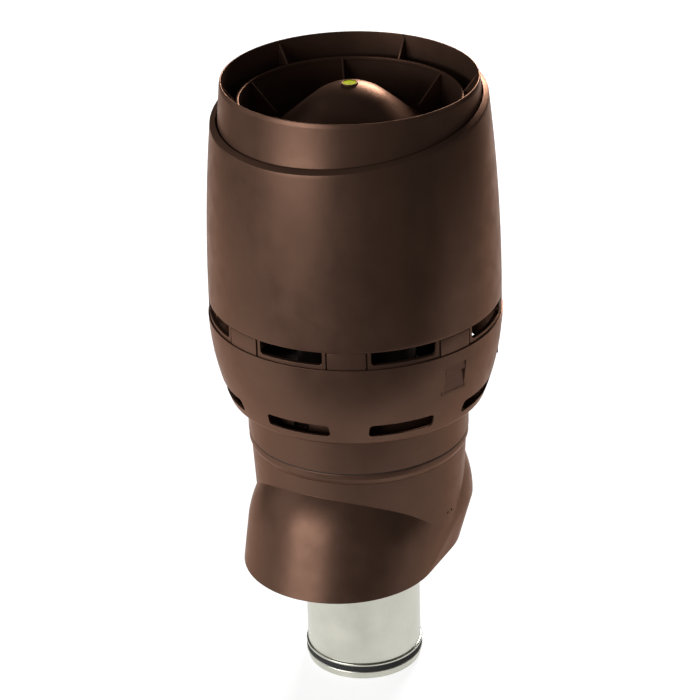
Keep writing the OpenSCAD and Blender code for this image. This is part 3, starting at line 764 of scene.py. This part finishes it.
def form_points(inset):
    """Points on the skirt's two domed lobes, on the casing and on the hem."""
    points = []
    rows, columns, hem_columns = 28, 144, 192
    for y, z, r, h in LOBES:
        r, h = r - inset / MM, h - inset / MM
        for i in range(rows + 1):
            up = math.pi / 2 * i / rows
            around = columns if i < rows else 1
            for k in range(around):
                a = TURN * k / around
                points.append((r * math.cos(up) * math.cos(a),
                               y + r * math.cos(up) * math.sin(a), z + h * math.sin(up)))
    discs = [(y, HEM_Z - inset / MM, r) for y, r in HEM_ENDS]
    discs.append((0, VALLEY_Z, casing_radius(VALLEY_Z * MM) / MM))
    for y, z, r in discs:
        points += [((r - inset / MM) * math.cos(TURN * k / hem_columns),
                    y + (r - inset / MM) * math.sin(TURN * k / hem_columns), z)
                   for k in range(hem_columns)]
    return [Vector(p) * MM for p in points]


def skirt_form(name, inset):
    """The skirt's closed form: the smallest convex body round its points."""
    mesh = new_mesh(name)
    with edited(mesh) as bm:
        for point in form_points(inset):
            bm.verts.new(point)
        made = bmesh.ops.convex_hull(bm, input=bm.verts)
        inner = {v for v in made["geom_interior"] + made["geom_unused"]
                 if isinstance(v, bmesh.types.BMVert)}
        bmesh.ops.delete(bm, geom=list(inner), context="VERTS")
        flat = [e for e in bm.edges if len(e.link_faces) == 2 and e.calc_face_angle(0) < 1e-4]
        bmesh.ops.dissolve_edges(bm, edges=flat, use_verts=False)
    return tidy(mesh)


# ---------------------------------------------------------------- operators

class VentOperator(bpy.types.Operator):
    """Shared settings of the operators."""
    bl_options = {"REGISTER", "UNDO"}

    def execute(self, context):
        self.build(context.scene.vent_pipe, context.scene.vent_hood)
        return {"FINISHED"}


class VENT_OT_duct(VentOperator):
    """Steel duct with its two rolled beads, and the rubber seal between them"""
    bl_idname = "vent.duct"
    bl_label = "Duct and seal"

    def build(self, pipe, hood):
        top = box_top("inner_duct")
        r = box_radius("inner_duct") - pipe.bead
        inside = r - pipe.duct_wall
        seal_low = pipe.hem + 2 * pipe.bead
        seal_top = seal_low + pipe.seal_height
        break_edge = 0.3 * MM
        outline = [(inside, 0.0), (r - break_edge, 0.0), (r, break_edge)]
        for middle in (pipe.hem + pipe.bead, seal_top + pipe.bead):
            for i in range(13):
                a = math.pi * (i / 12 - 0.5)
                outline.append((r + pipe.bead * math.cos(a), middle + pipe.bead * math.sin(a)))
        # the duct's end above the closing ring takes the dark plastic as painted shade, so that it
        # shows dark through the windows
        painted_shade_low = box_top("upper_closing_ring") - 2 * MM
        outline += [(r, painted_shade_low), (r, top), (inside, top), (inside, painted_shade_low)]
        duct = place(turned("steel_duct", outline), "pipe", ["inner_duct"], "duct_steel")
        duct.data.materials.append(material("dark plastic"))
        # painted shade: faces above this height get the dark plastic in place of the steel
        for face in duct.data.polygons:
            face.material_index = int(face.center.z > painted_shade_low)
        lip = r + pipe.seal_reach
        seal = rounded([(r, seal_low), (lip, seal_low, 0.6 * MM),
                        (lip - 0.8 * MM, seal_top, 0.6 * MM), (r, seal_top)])
        place(turned("duct_seal_ring", seal), "pipe", ["duct_seal"], "rubber")


class VENT_OT_casing(VentOperator):
    """Casing with its skirt, moulded in one, with the screw holes on both sides"""
    bl_idname = "vent.casing"
    bl_label = "Casing and skirt"

    def build(self, pipe, hood):
        top, wall = pipe.casing_top, pipe.casing_wall
        valley, past, reach = VALLEY_Z * MM, 100 * MM, 200 * MM
        hole_r, hole_z, hole_places = 1.5 * MM, 207 * MM, (-14.7 * MM, -7.3 * MM)
        body = new_object("casing_with_skirt", skirt_form("casing_with_skirt", 0.0))
        rows = [valley + (top - valley) * i / 20 for i in range(21)]
        cone = turned_mesh("cone", [(0, valley)] + [(casing_radius(z), z) for z in rows]
                           + [(0, top)])
        combined(body, [cone], "UNION")
        bore = turned_mesh("bore", [(0, valley), (casing_radius(valley) - wall, valley),
                                    (casing_radius(top) - wall, top),
                                    (casing_radius(top) - wall, top + past), (0, top + past)])
        holes = []
        hole = [(hole_r * math.cos(TURN * k / 24), hole_r * math.sin(TURN * k / 24))
                for k in range(24)]
        for y in hole_places:
            outline = [(t + y, z + hole_z) for t, z in hole]
            holes.append(prism_mesh("hole", outline, -reach, reach, 0.0))
        combined(body, [skirt_form("inside", wall), bore, joined("holes", holes)], angle=18)
        place(body, "pipe", ["casing_skirt"], "brown_plastic")


class VENT_OT_collar(VentOperator):
    """Adapter collar with its spigot and latch windows, the gasket and the closing rings"""
    bl_idname = "vent.collar"
    bl_label = "Adapter collar"

    def build(self, pipe, hood):
        top, edge = pipe.casing_top, pipe.edge
        band_r, band_top = box_radius("adapter_collar"), top + BAND_HIGH
        lip_low = top - 15 * MM
        lip = casing_radius(lip_low) - pipe.casing_wall - 0.2 * MM
        lip_in, spigot_in = lip - SPIGOT_WALL, SPIGOT_R - SPIGOT_WALL
        outline = rounded([
            (lip_in, lip_low), (lip, lip_low, 0.5 * MM), (lip, top),
            (casing_radius(top), top, 0.4 * MM), (band_r, top + pipe.collar_bevel, edge),
            (band_r, band_top, edge), (SPIGOT_R, band_top), (SPIGOT_R, SPIGOT_TOP, 0.8 * MM),
            (spigot_in, SPIGOT_TOP, 0.8 * MM), (spigot_in, band_top), (lip_in, top)])
        collar = turned("adapter_collar_ring", outline)
        combined(collar, latch_windows(105 * MM, 120 * MM))
        place(collar, "pipe", ["adapter_collar"], "brown_plastic")
        gasket_r = band_r - 0.15 * MM
        gasket = rounded([(NECK_IN, band_top), (gasket_r, band_top, 0.3 * MM),
                          (gasket_r, NECK_LOW, 0.3 * MM), (NECK_IN, NECK_LOW)])
        place(turned("neck_gasket", gasket), "pipe", ["collar_gasket"], "rubber", "brown rubber")
        for node in ("lower_closing_ring", "upper_closing_ring"):
            place(cad_copy(node + "_smooth", node), "pipe", [node], "dark_plastic")
        for side in ("front", "rear"):
            latch = cad_copy(f"{side}_latch_slide_piece", f"{side}_latch")
            step = latch.modifiers.new("soft edges", "BEVEL")
            step.width = 0.35 * MM
            step.segments = 2
            step.limit_method = "ANGLE"
            applied(latch)
            place(latch, f"{side}_latch_body", [f"{side}_latch"], "dark_plastic")


class VENT_OT_bowl(VentOperator):
    """Bowl with its neck, drain slots and square flats, and the socket inside it"""
    bl_idname = "vent.bowl"
    bl_label = "Bowl and socket"

    def build(self, pipe, hood):
        wall = hood.wall
        outer = bowl_side(0.0, 36)
        inner = bowl_side(wall, 36)
        neck = rounded([(NECK_IN, NECK_LOW, 0.4 * MM), (NECK_R, NECK_LOW, 0.8 * MM),
                        (NECK_R, UNDERSIDE, 3 * MM), outer[1]], 5)[:-1]
        outline = neck + outer[1:] + inner[::-1] + [(NECK_IN, FLOOR)]
        bowl = turned("bowl_with_neck", outline, 256)
        face = bowl_radius(FLAT_LOW) - 0.4 * MM
        half, flat_top = FLAT_WIDE / 2, FLAT_LOW + FLAT_HIGH
        angles = [side + turn for side in (0, math.pi) for turn in (-FLAT_TURN, FLAT_TURN)]

        def at_flats(name, outline, near, far):
            return joined(name, [prism_mesh(name, outline, near, far, a) for a in angles])

        back = box_outline(-half - wall, half + wall, FLAT_LOW - wall, flat_top + wall)
        pocket = box_outline(-half, half, FLAT_LOW, flat_top, 0.5 * MM)
        clip = box_outline(-12.9 * MM, 13.9 * MM, flat_top - 9.6 * MM, flat_top - 0.8 * MM,
                           0.4 * MM)
        combined(bowl, [at_flats("back", back, face - wall, face + 0.2 * MM)], "UNION")
        slot = opening_outline(hood.opening_width, hood.slot_low, hood.slot_low + hood.slot_height,
                               4 * MM)
        near, far = 118 * MM, 165 * MM
        slots = [prism_mesh("slot", slot, near, far, TURN * i / hood.opening_count - math.pi / 2)
                 for i in range(hood.opening_count)]
        combined(bowl, [at_flats("pocket", pocket, face, face + 20 * MM), joined("slots", slots)])
        combined(bowl, [at_flats("clip", clip, face - 1 * MM, face + 2.6 * MM)], "UNION")
        place(bowl, "hood", ["hood_bowl"], "brown_plastic")
        socket = turned("latch_socket", rounded([
            (SOCKET_IN, FLOOR), (SOCKET_R, FLOOR), (SOCKET_R, SOCKET_TOP, 0.7 * MM),
            (SOCKET_IN, SOCKET_TOP, 0.7 * MM)]))
        combined(socket, latch_windows(110 * MM, 125 * MM))
        place(socket, "hood", ["hood_socket"], "brown_plastic")


class VENT_OT_windows(VentOperator):
    """Window ring between bowl and shell, with framed windows and plain pads between them"""
    bl_idname = "vent.windows"
    bl_label = "Window ring"

    def build(self, pipe, hood):
        low, high = box_low("window_ring"), box_top("window_ring")
        pad_r = box_radius("hood_shell")
        band_r = pad_r - 2.7 * MM
        inside = band_r - 2.4 * MM
        pad_low, pad_high = BOWL_TOP + 0.2 * MM, hood.shell_foot - 0.2 * MM
        ring = turned("window_ring_band", rounded([
            (inside, low), (band_r, low), (band_r, pad_low), (pad_r, pad_low, 0.5 * MM),
            (pad_r, pad_high, 0.3 * MM), (band_r, pad_high), (band_r, high), (inside, high)]), 256)
        frame_half = hood.opening_width / 2 + 3.6 * MM
        frame_back, groove = 0.6 * MM, 1.8 * MM
        count = hood.opening_count
        cutters = {"window": [], "recess": [], "groove": []}
        for i in range(count):
            angle = TURN * i / count - math.pi / 2
            opening = opening_outline(hood.opening_width, hood.window_low, hood.shell_foot + 2 * MM,
                                      4 * MM, False)
            cutters["window"].append(prism_mesh("window", opening, 130 * MM, 160 * MM, angle))
            half = math.asin(frame_half / pad_r)
            face = pad_r - frame_back
            recess = [(face, pad_low - 1 * MM), (face + 0.01, pad_low - 1 * MM),
                      (face + 0.01, pad_high + 1 * MM), (face, pad_high + 1 * MM)]
            cutters["recess"].append(turned_mesh("recess", recess, 64, angle - half, 2 * half))
            wide = groove / pad_r
            strip = [(band_r, pad_low), (band_r + 0.01, pad_low),
                     (band_r + 0.01, pad_high), (band_r, pad_high)]
            for first in (angle - half - wide, angle + half):
                cutters["groove"].append(turned_mesh("groove", strip, 3, first, wide))
        combined(ring, [joined(kind, meshes) for kind, meshes in cutters.items()])
        place(ring, "hood", ["window_ring"], "brown_plastic")


class VENT_OT_shell(VentOperator):
    """Tall shell with its slanted shoulder"""
    bl_idname = "vent.shell"
    bl_label = "Shell"

    def build(self, pipe, hood):
        wall, slope_w, slope_h, slant_starts = 2.5 * MM, 5.5 * MM, 3 * MM, 560 * MM
        shoulder, foot = hood.shoulder, hood.shell_foot
        corner_z = shoulder - slope_h
        corner_r = shell_radius(corner_z)
        cut = top_radius(shoulder) + 1.6 * MM
        steps = 48
        heights = [foot + (corner_z - foot) * i / steps for i in range(steps + 1)]
        outer = [(shell_radius(z), z) for z in heights]
        inner = [(shell_radius(z) - wall, z) for z in heights]
        inner[-1] = (corner_r - wall, corner_z - wall)
        under = corner_z - wall + (corner_r - wall - cut) * slope_h / slope_w
        corners = ([(*outer[0], 0.6 * MM)] + outer[1:-1] + [(*outer[-1], 1.2 * MM),
                   (cut + 0.4 * MM, shoulder, 0.3 * MM), (cut, shoulder, 0.5 * MM), (cut, under)]
                   + inner[:0:-1] + [(*inner[0], 0.3 * MM)])
        outline = rounded(corners)
        mesh = new_mesh("shell outline", [(r, 0, z) for r, z in outline])
        tree = slanted_shell_tree()
        shell = grown("tall_shell", mesh, tree, {
            "Wedges": 256, "Slant": hood.slant, "Lowest direction": hood.slant_turn,
            "Slant starts": slant_starts, "Slant is full": corner_z - wall - 0.5 * MM,
            "Foot height": foot, "Side curve": hood.shell_curve,
            "Material": material("brown plastic")}, outward=True)
        place(shell, "hood", ["hood_shell"], "brown_plastic")


class VENT_OT_top(VentOperator):
    """Top collar, the inner ring and the ribs between them"""
    bl_idname = "vent.top"
    bl_label = "Top collar and ribs"

    def build(self, pipe, hood):
        thick, count = hood.rib_thickness, hood.rib_count
        wall, foot_top = 2 * MM, TOP_LOW + 2.5 * MM
        seat = shell_radius(TOP_LOW) - 2.8 * MM
        bevel_z = RIM_Z - 4.5 * MM
        collar = turned("top_collar_ring", rounded([
            (top_radius(TOP_LOW) - wall, TOP_LOW), (seat, TOP_LOW, 0.5 * MM),
            (seat, foot_top, 0.5 * MM), (top_radius(foot_top), foot_top, 0.5 * MM),
            (top_radius(bevel_z), bevel_z, 0.8 * MM), (RIM_R - 0.6 * MM, RIM_Z, 0.5 * MM),
            (RIM_R - wall, RIM_Z, 0.6 * MM)]), 256)
        notch = box_outline(-thick / 2, thick / 2, RIM_Z - 3 * MM, RIM_Z + 1 * MM)
        notches = [prism_mesh("notch", notch, RIM_R - 3 * MM, RIM_R - 1 * MM,
                              TURN * (i + 0.5) / count) for i in range(count)]
        combined(collar, [joined("notches", notches)])
        place(collar, "hood", ["top_collar"], "brown_plastic")
        lip = RING_IN - 0.8 * MM
        ring = turned("inner_air_ring", rounded([
            (RING_IN, RING_LOW, 0.4 * MM), (RING_R, RING_LOW, 0.4 * MM),
            (RING_R, RING_TOP, 0.7 * MM), (lip, RING_TOP, 0.7 * MM),
            (lip, RING_TOP - 4 * MM, 0.3 * MM), (RING_IN, RING_TOP - 4.5 * MM)]))
        place(ring, "hood", ["inner_ring"], "brown_plastic")
        low, high = 604 * MM, RIM_Z - 3 * MM
        outer = [(RING_R, low), (top_radius(low) - wall, low), (top_radius(high) - wall, high),
                 (RING_R, RING_TOP - 0.6 * MM)]
        ribs = repeated("outer_rib_set", plate_mesh("outer rib", outer, thick), count,
                        math.pi / count)
        place(ribs, "hood", ["outer_ribs"], "brown_plastic")
        plate_z = dome_height(DOME_R) - DOME_RIM - PLATE_THICK
        top, step = RING_TOP - 0.3 * MM, 631 * MM
        inner = rounded([
            (SCREW_AT, plate_z + PLATE_THICK), (SCREW_AT, plate_z), (RING_IN, plate_z),
            (RING_IN, top), (86 * MM, step, 8 * MM), (SCREW_AT, step, 0.4 * MM),
            (SCREW_AT, dome_height(SCREW_AT)), (DOME_R, dome_height(DOME_R)),
            (DOME_R, dome_height(DOME_R) - DOME_RIM)], 6)
        lug = at_screw(turned_mesh("lug", box_outline(
            2.25 * MM, 5.7 * MM, plate_z, plate_z + PLATE_THICK), 32))
        rib = joined("inner rib", [plate_mesh("rib plate", inner, thick), lug])
        ribs = repeated("inner_rib_set", rib, count, 0.0)
        place(ribs, "hood", ["inner_ribs"], "brown_plastic")


class VENT_OT_dome(VentOperator):
    """Rain dome with its screws, and the air funnel on its struts below it"""
    bl_idname = "vent.dome"
    bl_label = "Dome and funnel"

    def build(self, pipe, hood):
        count = hood.rib_count
        case_r = box_radius("level_housing")
        rim_z = dome_height(DOME_R)
        low = rim_z - DOME_RIM
        ball, slope = hood.dome_round, hood.dome_slope
        outline = [(DOME_R - DOME_WALL, low), (DOME_R, low), (DOME_R, rim_z - 1.2 * MM),
                   (DOME_R - 0.35 * MM, rim_z - 0.1 * MM)]
        cone_r, edge_r = ball * math.sin(slope), DOME_R - 1.5 * MM
        outline += [(r, dome_height(r)) for r in
                    [edge_r + (cone_r - edge_r) * i / 12 for i in range(13)]]
        first = math.asin(case_r / ball)
        outline += [(ball * math.sin(a), DOME_TOP - ball + ball * math.cos(a)) for a in
                    [slope + (first - slope) * i / 20 for i in range(1, 21)]]
        inner_ball = ball - DOME_WALL
        outline += [(case_r, DOME_TOP - ball + math.sqrt(inner_ball ** 2 - case_r ** 2))]
        outline += [(inner_ball * math.sin(a), DOME_TOP - ball + inner_ball * math.cos(a)) for a in
                    [slope * i / 12 for i in range(3, 13)]]
        outline += [(DOME_R - DOME_WALL, dome_height(DOME_R - DOME_WALL, DOME_WALL))]
        dome = turned("rain_dome", outline, 256)
        shank_r, boss_r, head_r, head_h = 2 * MM, 4.2 * MM, 4 * MM, 2.6 * MM
        boss = at_screw(turned_mesh("boss", box_outline(
            shank_r, boss_r, low, dome_height(SCREW_AT + boss_r) - 1 * MM), 32))
        place(dome, "hood", ["dome"], "brown_plastic")
        place(repeated("dome_boss_set", boss, count, 0.0), "hood", [], "brown_plastic")
        plate_z = low - PLATE_THICK
        head_low, tip = plate_z - head_h, plate_z + 11 * MM
        screw = new_object("screw", at_screw(turned_mesh("head", rounded([
            (0, head_low), (head_r, head_low, 1.2 * MM), (head_r, plate_z, 0.2 * MM),
            (shank_r, plate_z), (shank_r, tip, 0.4 * MM), (0, tip)]), 32)))
        cross = []
        for side in (0, 1):
            cross.append(new_mesh("blade"))
            with edited(cross[-1]) as blade:
                bmesh.ops.create_cube(blade, size=1,
                                      matrix=Matrix.Translation((SCREW_AT, 0, head_low))
                                      @ Matrix.Rotation(side * math.pi / 2, 4, "Z")
                                      @ Matrix.Diagonal((4 * MM, 0.9 * MM, 2.4 * MM, 1)))
        combined(screw, cross)
        mesh = screw.data.copy()
        bpy.data.objects.remove(screw)
        place(repeated("dome_screw_set", mesh, count, 0.0, "screw zinc"), "hood",
              ["dome_screws"], "screw_steel")
        throat, mouth = FUNNEL_IN + FUNNEL_WALL, FUNNEL_MOUTH + FUNNEL_WALL
        funnel = turned("air_guide_funnel", rounded([
            (FUNNEL_IN, FUNNEL_LOW, 0.5 * MM), (throat, FUNNEL_LOW, 0.5 * MM),
            (throat, FUNNEL_KNEE, 25 * MM), (mouth, FUNNEL_TOP, 0.5 * MM),
            (FUNNEL_MOUTH, FUNNEL_TOP, 0.5 * MM), (FUNNEL_IN, FUNNEL_KNEE, 25 * MM)], 8))
        place(funnel, "hood", ["air_funnel"], "dark_plastic")
        strut_low, strut_top = 524 * MM, 566 * MM
        strut = [(74.6 * MM, strut_low), (RING_IN, strut_low), (RING_IN, strut_top),
                 (88.7 * MM, strut_top)]
        struts = repeated("funnel_strut_set", plate_mesh("strut", strut, hood.rib_thickness), count,
                          math.pi / count, "dark plastic")
        place(struts, "hood", ["funnel_struts"], "dark_plastic")


class VENT_OT_level(VentOperator):
    """Spirit level in the dome's top: cup, liquid, bubble and lens"""
    bl_idname = "vent.level"
    bl_label = "Spirit level"

    def build(self, pipe, hood):
        low, high = box_low("level_housing"), box_top("level_housing")
        case_r = box_radius("level_housing")
        r = box_radius("level_liquid")
        liquid_low, liquid_top = box_low("level_liquid"), box_top("level_liquid")
        cup = rounded([(0, low), (case_r, low, 0.3 * MM), (case_r, high, 0.4 * MM),
                       (r, high, 0.2 * MM), (r, liquid_low), (0, liquid_low)])
        place(turned("level_cup", cup, 96), "hood", ["level_housing"], "brown_plastic")
        gap = 0.02 * MM
        inner = r - gap
        liquid = [(0, liquid_low + gap), (inner, liquid_low + gap),
                  (inner, liquid_top - gap), (0, liquid_top - gap)]
        place(turned("level_fluid", liquid, 96), "hood", ["level_liquid"], "level_green")
        bulge = 0.25 * MM
        lens = [(0, liquid_top), (inner, liquid_top), (inner, high - bulge)]
        lens += [(inner * math.cos(a), high - bulge + bulge * math.sin(a))
                 for a in [math.pi / 2 * i / 8 for i in range(1, 9)]]
        place(turned("level_window", lens, 96), "hood", ["level_lens"], "clear_lens")
        refinish("level_bubble", "level bubble")


class VENT_OT_insulation(VentOperator):
    """Finish of the insulation halves, which stay as the CAD made them"""
    bl_idname = "vent.insulation"
    bl_label = "Insulation"

    def build(self, pipe, hood):
        for node in ("insulation_left", "insulation_right"):
            refinish(node, "insulation foam")


# Lamps as (name, azimuth, elevation, distance, width, height, watts), turned to LAMP_AIM
LAMPS = (
    ("key lamp", -109, 7, 5.0, 3.7, 2.6, 165),
    ("left lamp", -159, 20, 2.8, 1.8, 2.2, 10),
    ("back lamp", 101, 24, 2.4, 0.8, 0.6, 54),
    ("right lamp", 28, 20, 3.0, 0.7, 1.4, 2),
)
LAMP_AIM = Vector((0, 0, 0.38))
# Camera as matched to the photo, before the turn round the object's axis
CAMERA_TURN = 26.5
CAMERA_YAW, CAMERA_PITCH, CAMERA_ROLL = -0.152, 26.434, -1.609
CAMERA_PLACE = (0, -2.7139, 1.7214)
CAMERA_LENS, CAMERA_SENSOR = 147.1, 36
# Floor: its middle behind the object and just under the duct, its width and its depth
FLOOR_PLACE = (0, 1.6, -0.0006)
FLOOR_SIZE = (3.2, 4.1, 1, 1)
WORLD_LIGHT = 0.06


class VENT_OT_stage(VentOperator):
    """Floor, world, lamps and camera"""
    bl_idname = "vent.stage"
    bl_label = "Stage"

    def build(self, pipe, hood):
        scene = bpy.context.scene
        scene.view_settings.view_transform = "Standard"
        self.floor()
        self.world(scene)
        self.lamps()
        self.camera(scene)

    def seen(self, tree):
        """1 for the rays that show the backdrop: camera, glossy and transmission rays."""
        path = tree.tree.nodes.new("ShaderNodeLightPath").outputs
        both = tree.math("MAXIMUM", path["Is Camera Ray"], path["Is Glossy Ray"])
        return tree.math("MAXIMUM", both, path["Is Transmission Ray"])

    def floor(self):
        """Pale table top that fills the picture and ends a little in front of the object."""
        mesh = new_mesh("floor")
        with edited(mesh) as bm:
            bmesh.ops.create_grid(bm, x_segments=1, y_segments=1, size=0.5,
                                  matrix=Matrix.Rotation(math.radians(CAMERA_TURN), 4, "Z")
                                  @ Matrix.Translation(FLOOR_PLACE) @ Matrix.Diagonal(FLOOR_SIZE))
        floor = new_object("floor", mesh)
        paint, tree, shader, where = new_material(
            "pale floor", roughness=0.9, specular=0.0, glow_colour=(1, 1, 1, 1))
        grain = noise(tree, where, 3, 2)
        link(tree, shades(tree, grain, [0.34] * 3, [0.36] * 3), shader, "Base Color")
        link(tree, tree.math("MULTIPLY", self.seen(tree), 0.85), shader, "Emission Strength")
        mesh.materials.append(paint)

    def world(self, scene):
        """Dim plain light from all round."""
        world = bpy.data.worlds.new("studio")
        scene.world = world
        world.use_nodes = True
        world.node_tree.nodes.clear()
        tree = Tree(world.node_tree)
        light = tree.add("ShaderNodeBackground", (1, 1, 1, 1), WORLD_LIGHT)
        end = world.node_tree.nodes.new("ShaderNodeOutputWorld")
        world.node_tree.links.new(light, end.inputs["Surface"])

    def lamps(self):
        """Area lamps, placed round the object."""
        for name, azimuth, elevation, away, width, tall, power in LAMPS:
            lamp = bpy.data.lights.new(name, "AREA")
            lamp.shape = "RECTANGLE"
            lamp.size, lamp.size_y, lamp.energy = width, tall, power
            thing = bpy.data.objects.new(name, lamp)
            bpy.context.scene.collection.objects.link(thing)
            a, e = math.radians(azimuth), math.radians(elevation)
            spot = LAMP_AIM + away * Vector((math.cos(e) * math.cos(a), math.cos(e) * math.sin(a),
                                             math.sin(e)))
            facing = (LAMP_AIM - spot).to_track_quat("-Z", "Y")
            thing.matrix_world = Matrix.Translation(spot) @ facing.to_matrix().to_4x4()

    def camera(self, scene):
        """Camera that sees the object as the photo does."""
        lens = bpy.data.cameras.new("camera")
        lens.sensor_width, lens.lens = CAMERA_SENSOR, CAMERA_LENS
        lens.clip_end = 40
        yaw, pitch, roll, turn = (math.radians(v) for v in (
            CAMERA_YAW, CAMERA_PITCH, CAMERA_ROLL, CAMERA_TURN))
        ahead = Vector((math.sin(yaw) * math.cos(pitch), math.cos(yaw) * math.cos(pitch),
                        -math.sin(pitch)))
        right = Vector((math.cos(yaw), -math.sin(yaw), 0))
        up = right.cross(ahead)
        rolled = math.cos(roll) * right + math.sin(roll) * up
        upright = math.cos(roll) * up - math.sin(roll) * right
        pose = Matrix((rolled, upright, -ahead)).transposed().to_4x4()
        pose.translation = CAMERA_PLACE
        thing = bpy.data.objects.new("camera", lens)
        scene.collection.objects.link(thing)
        thing.matrix_world = Matrix.Rotation(turn, 4, "Z") @ pose
        scene.camera = thing


OPERATORS = [VENT_OT_duct, VENT_OT_casing, VENT_OT_collar, VENT_OT_bowl, VENT_OT_windows,
             VENT_OT_shell, VENT_OT_top, VENT_OT_dome, VENT_OT_level, VENT_OT_insulation,
             VENT_OT_stage]


class VENT_PT_panel(bpy.types.Panel):
    bl_idname = "VENT_PT_panel"
    bl_label = "Roof vent pipe"
    bl_space_type = "VIEW_3D"
    bl_region_type = "UI"
    bl_category = "Vent pipe"

    def draw(self, context):
        for operator in OPERATORS:
            self.layout.operator(operator.bl_idname)
        for group in (context.scene.vent_pipe, context.scene.vent_hood, context.scene.vent_finish):
            box = self.layout.box()
            for name in group.bl_rna.properties.keys():
                if name not in ("rna_type", "name"):
                    box.prop(group, name)


CLASSES = [VentPipeSizes, VentHoodSizes, VentFinish, *OPERATORS, VENT_PT_panel]


def register():
    for cls in CLASSES:
        bpy.utils.register_class(cls)
    bpy.types.Scene.vent_pipe = PointerProperty(type=VentPipeSizes)
    bpy.types.Scene.vent_hood = PointerProperty(type=VentHoodSizes)
    bpy.types.Scene.vent_finish = PointerProperty(type=VentFinish)


def unregister():
    del bpy.types.Scene.vent_finish
    del bpy.types.Scene.vent_hood
    del bpy.types.Scene.vent_pipe
    for cls in reversed(CLASSES):
        bpy.utils.unregister_class(cls)


def main():
    register()
    for operator in OPERATORS:
        group, name = operator.bl_idname.split(".")
        getattr(getattr(bpy.ops, group), name)()


if __name__ == "__main__":
    main()
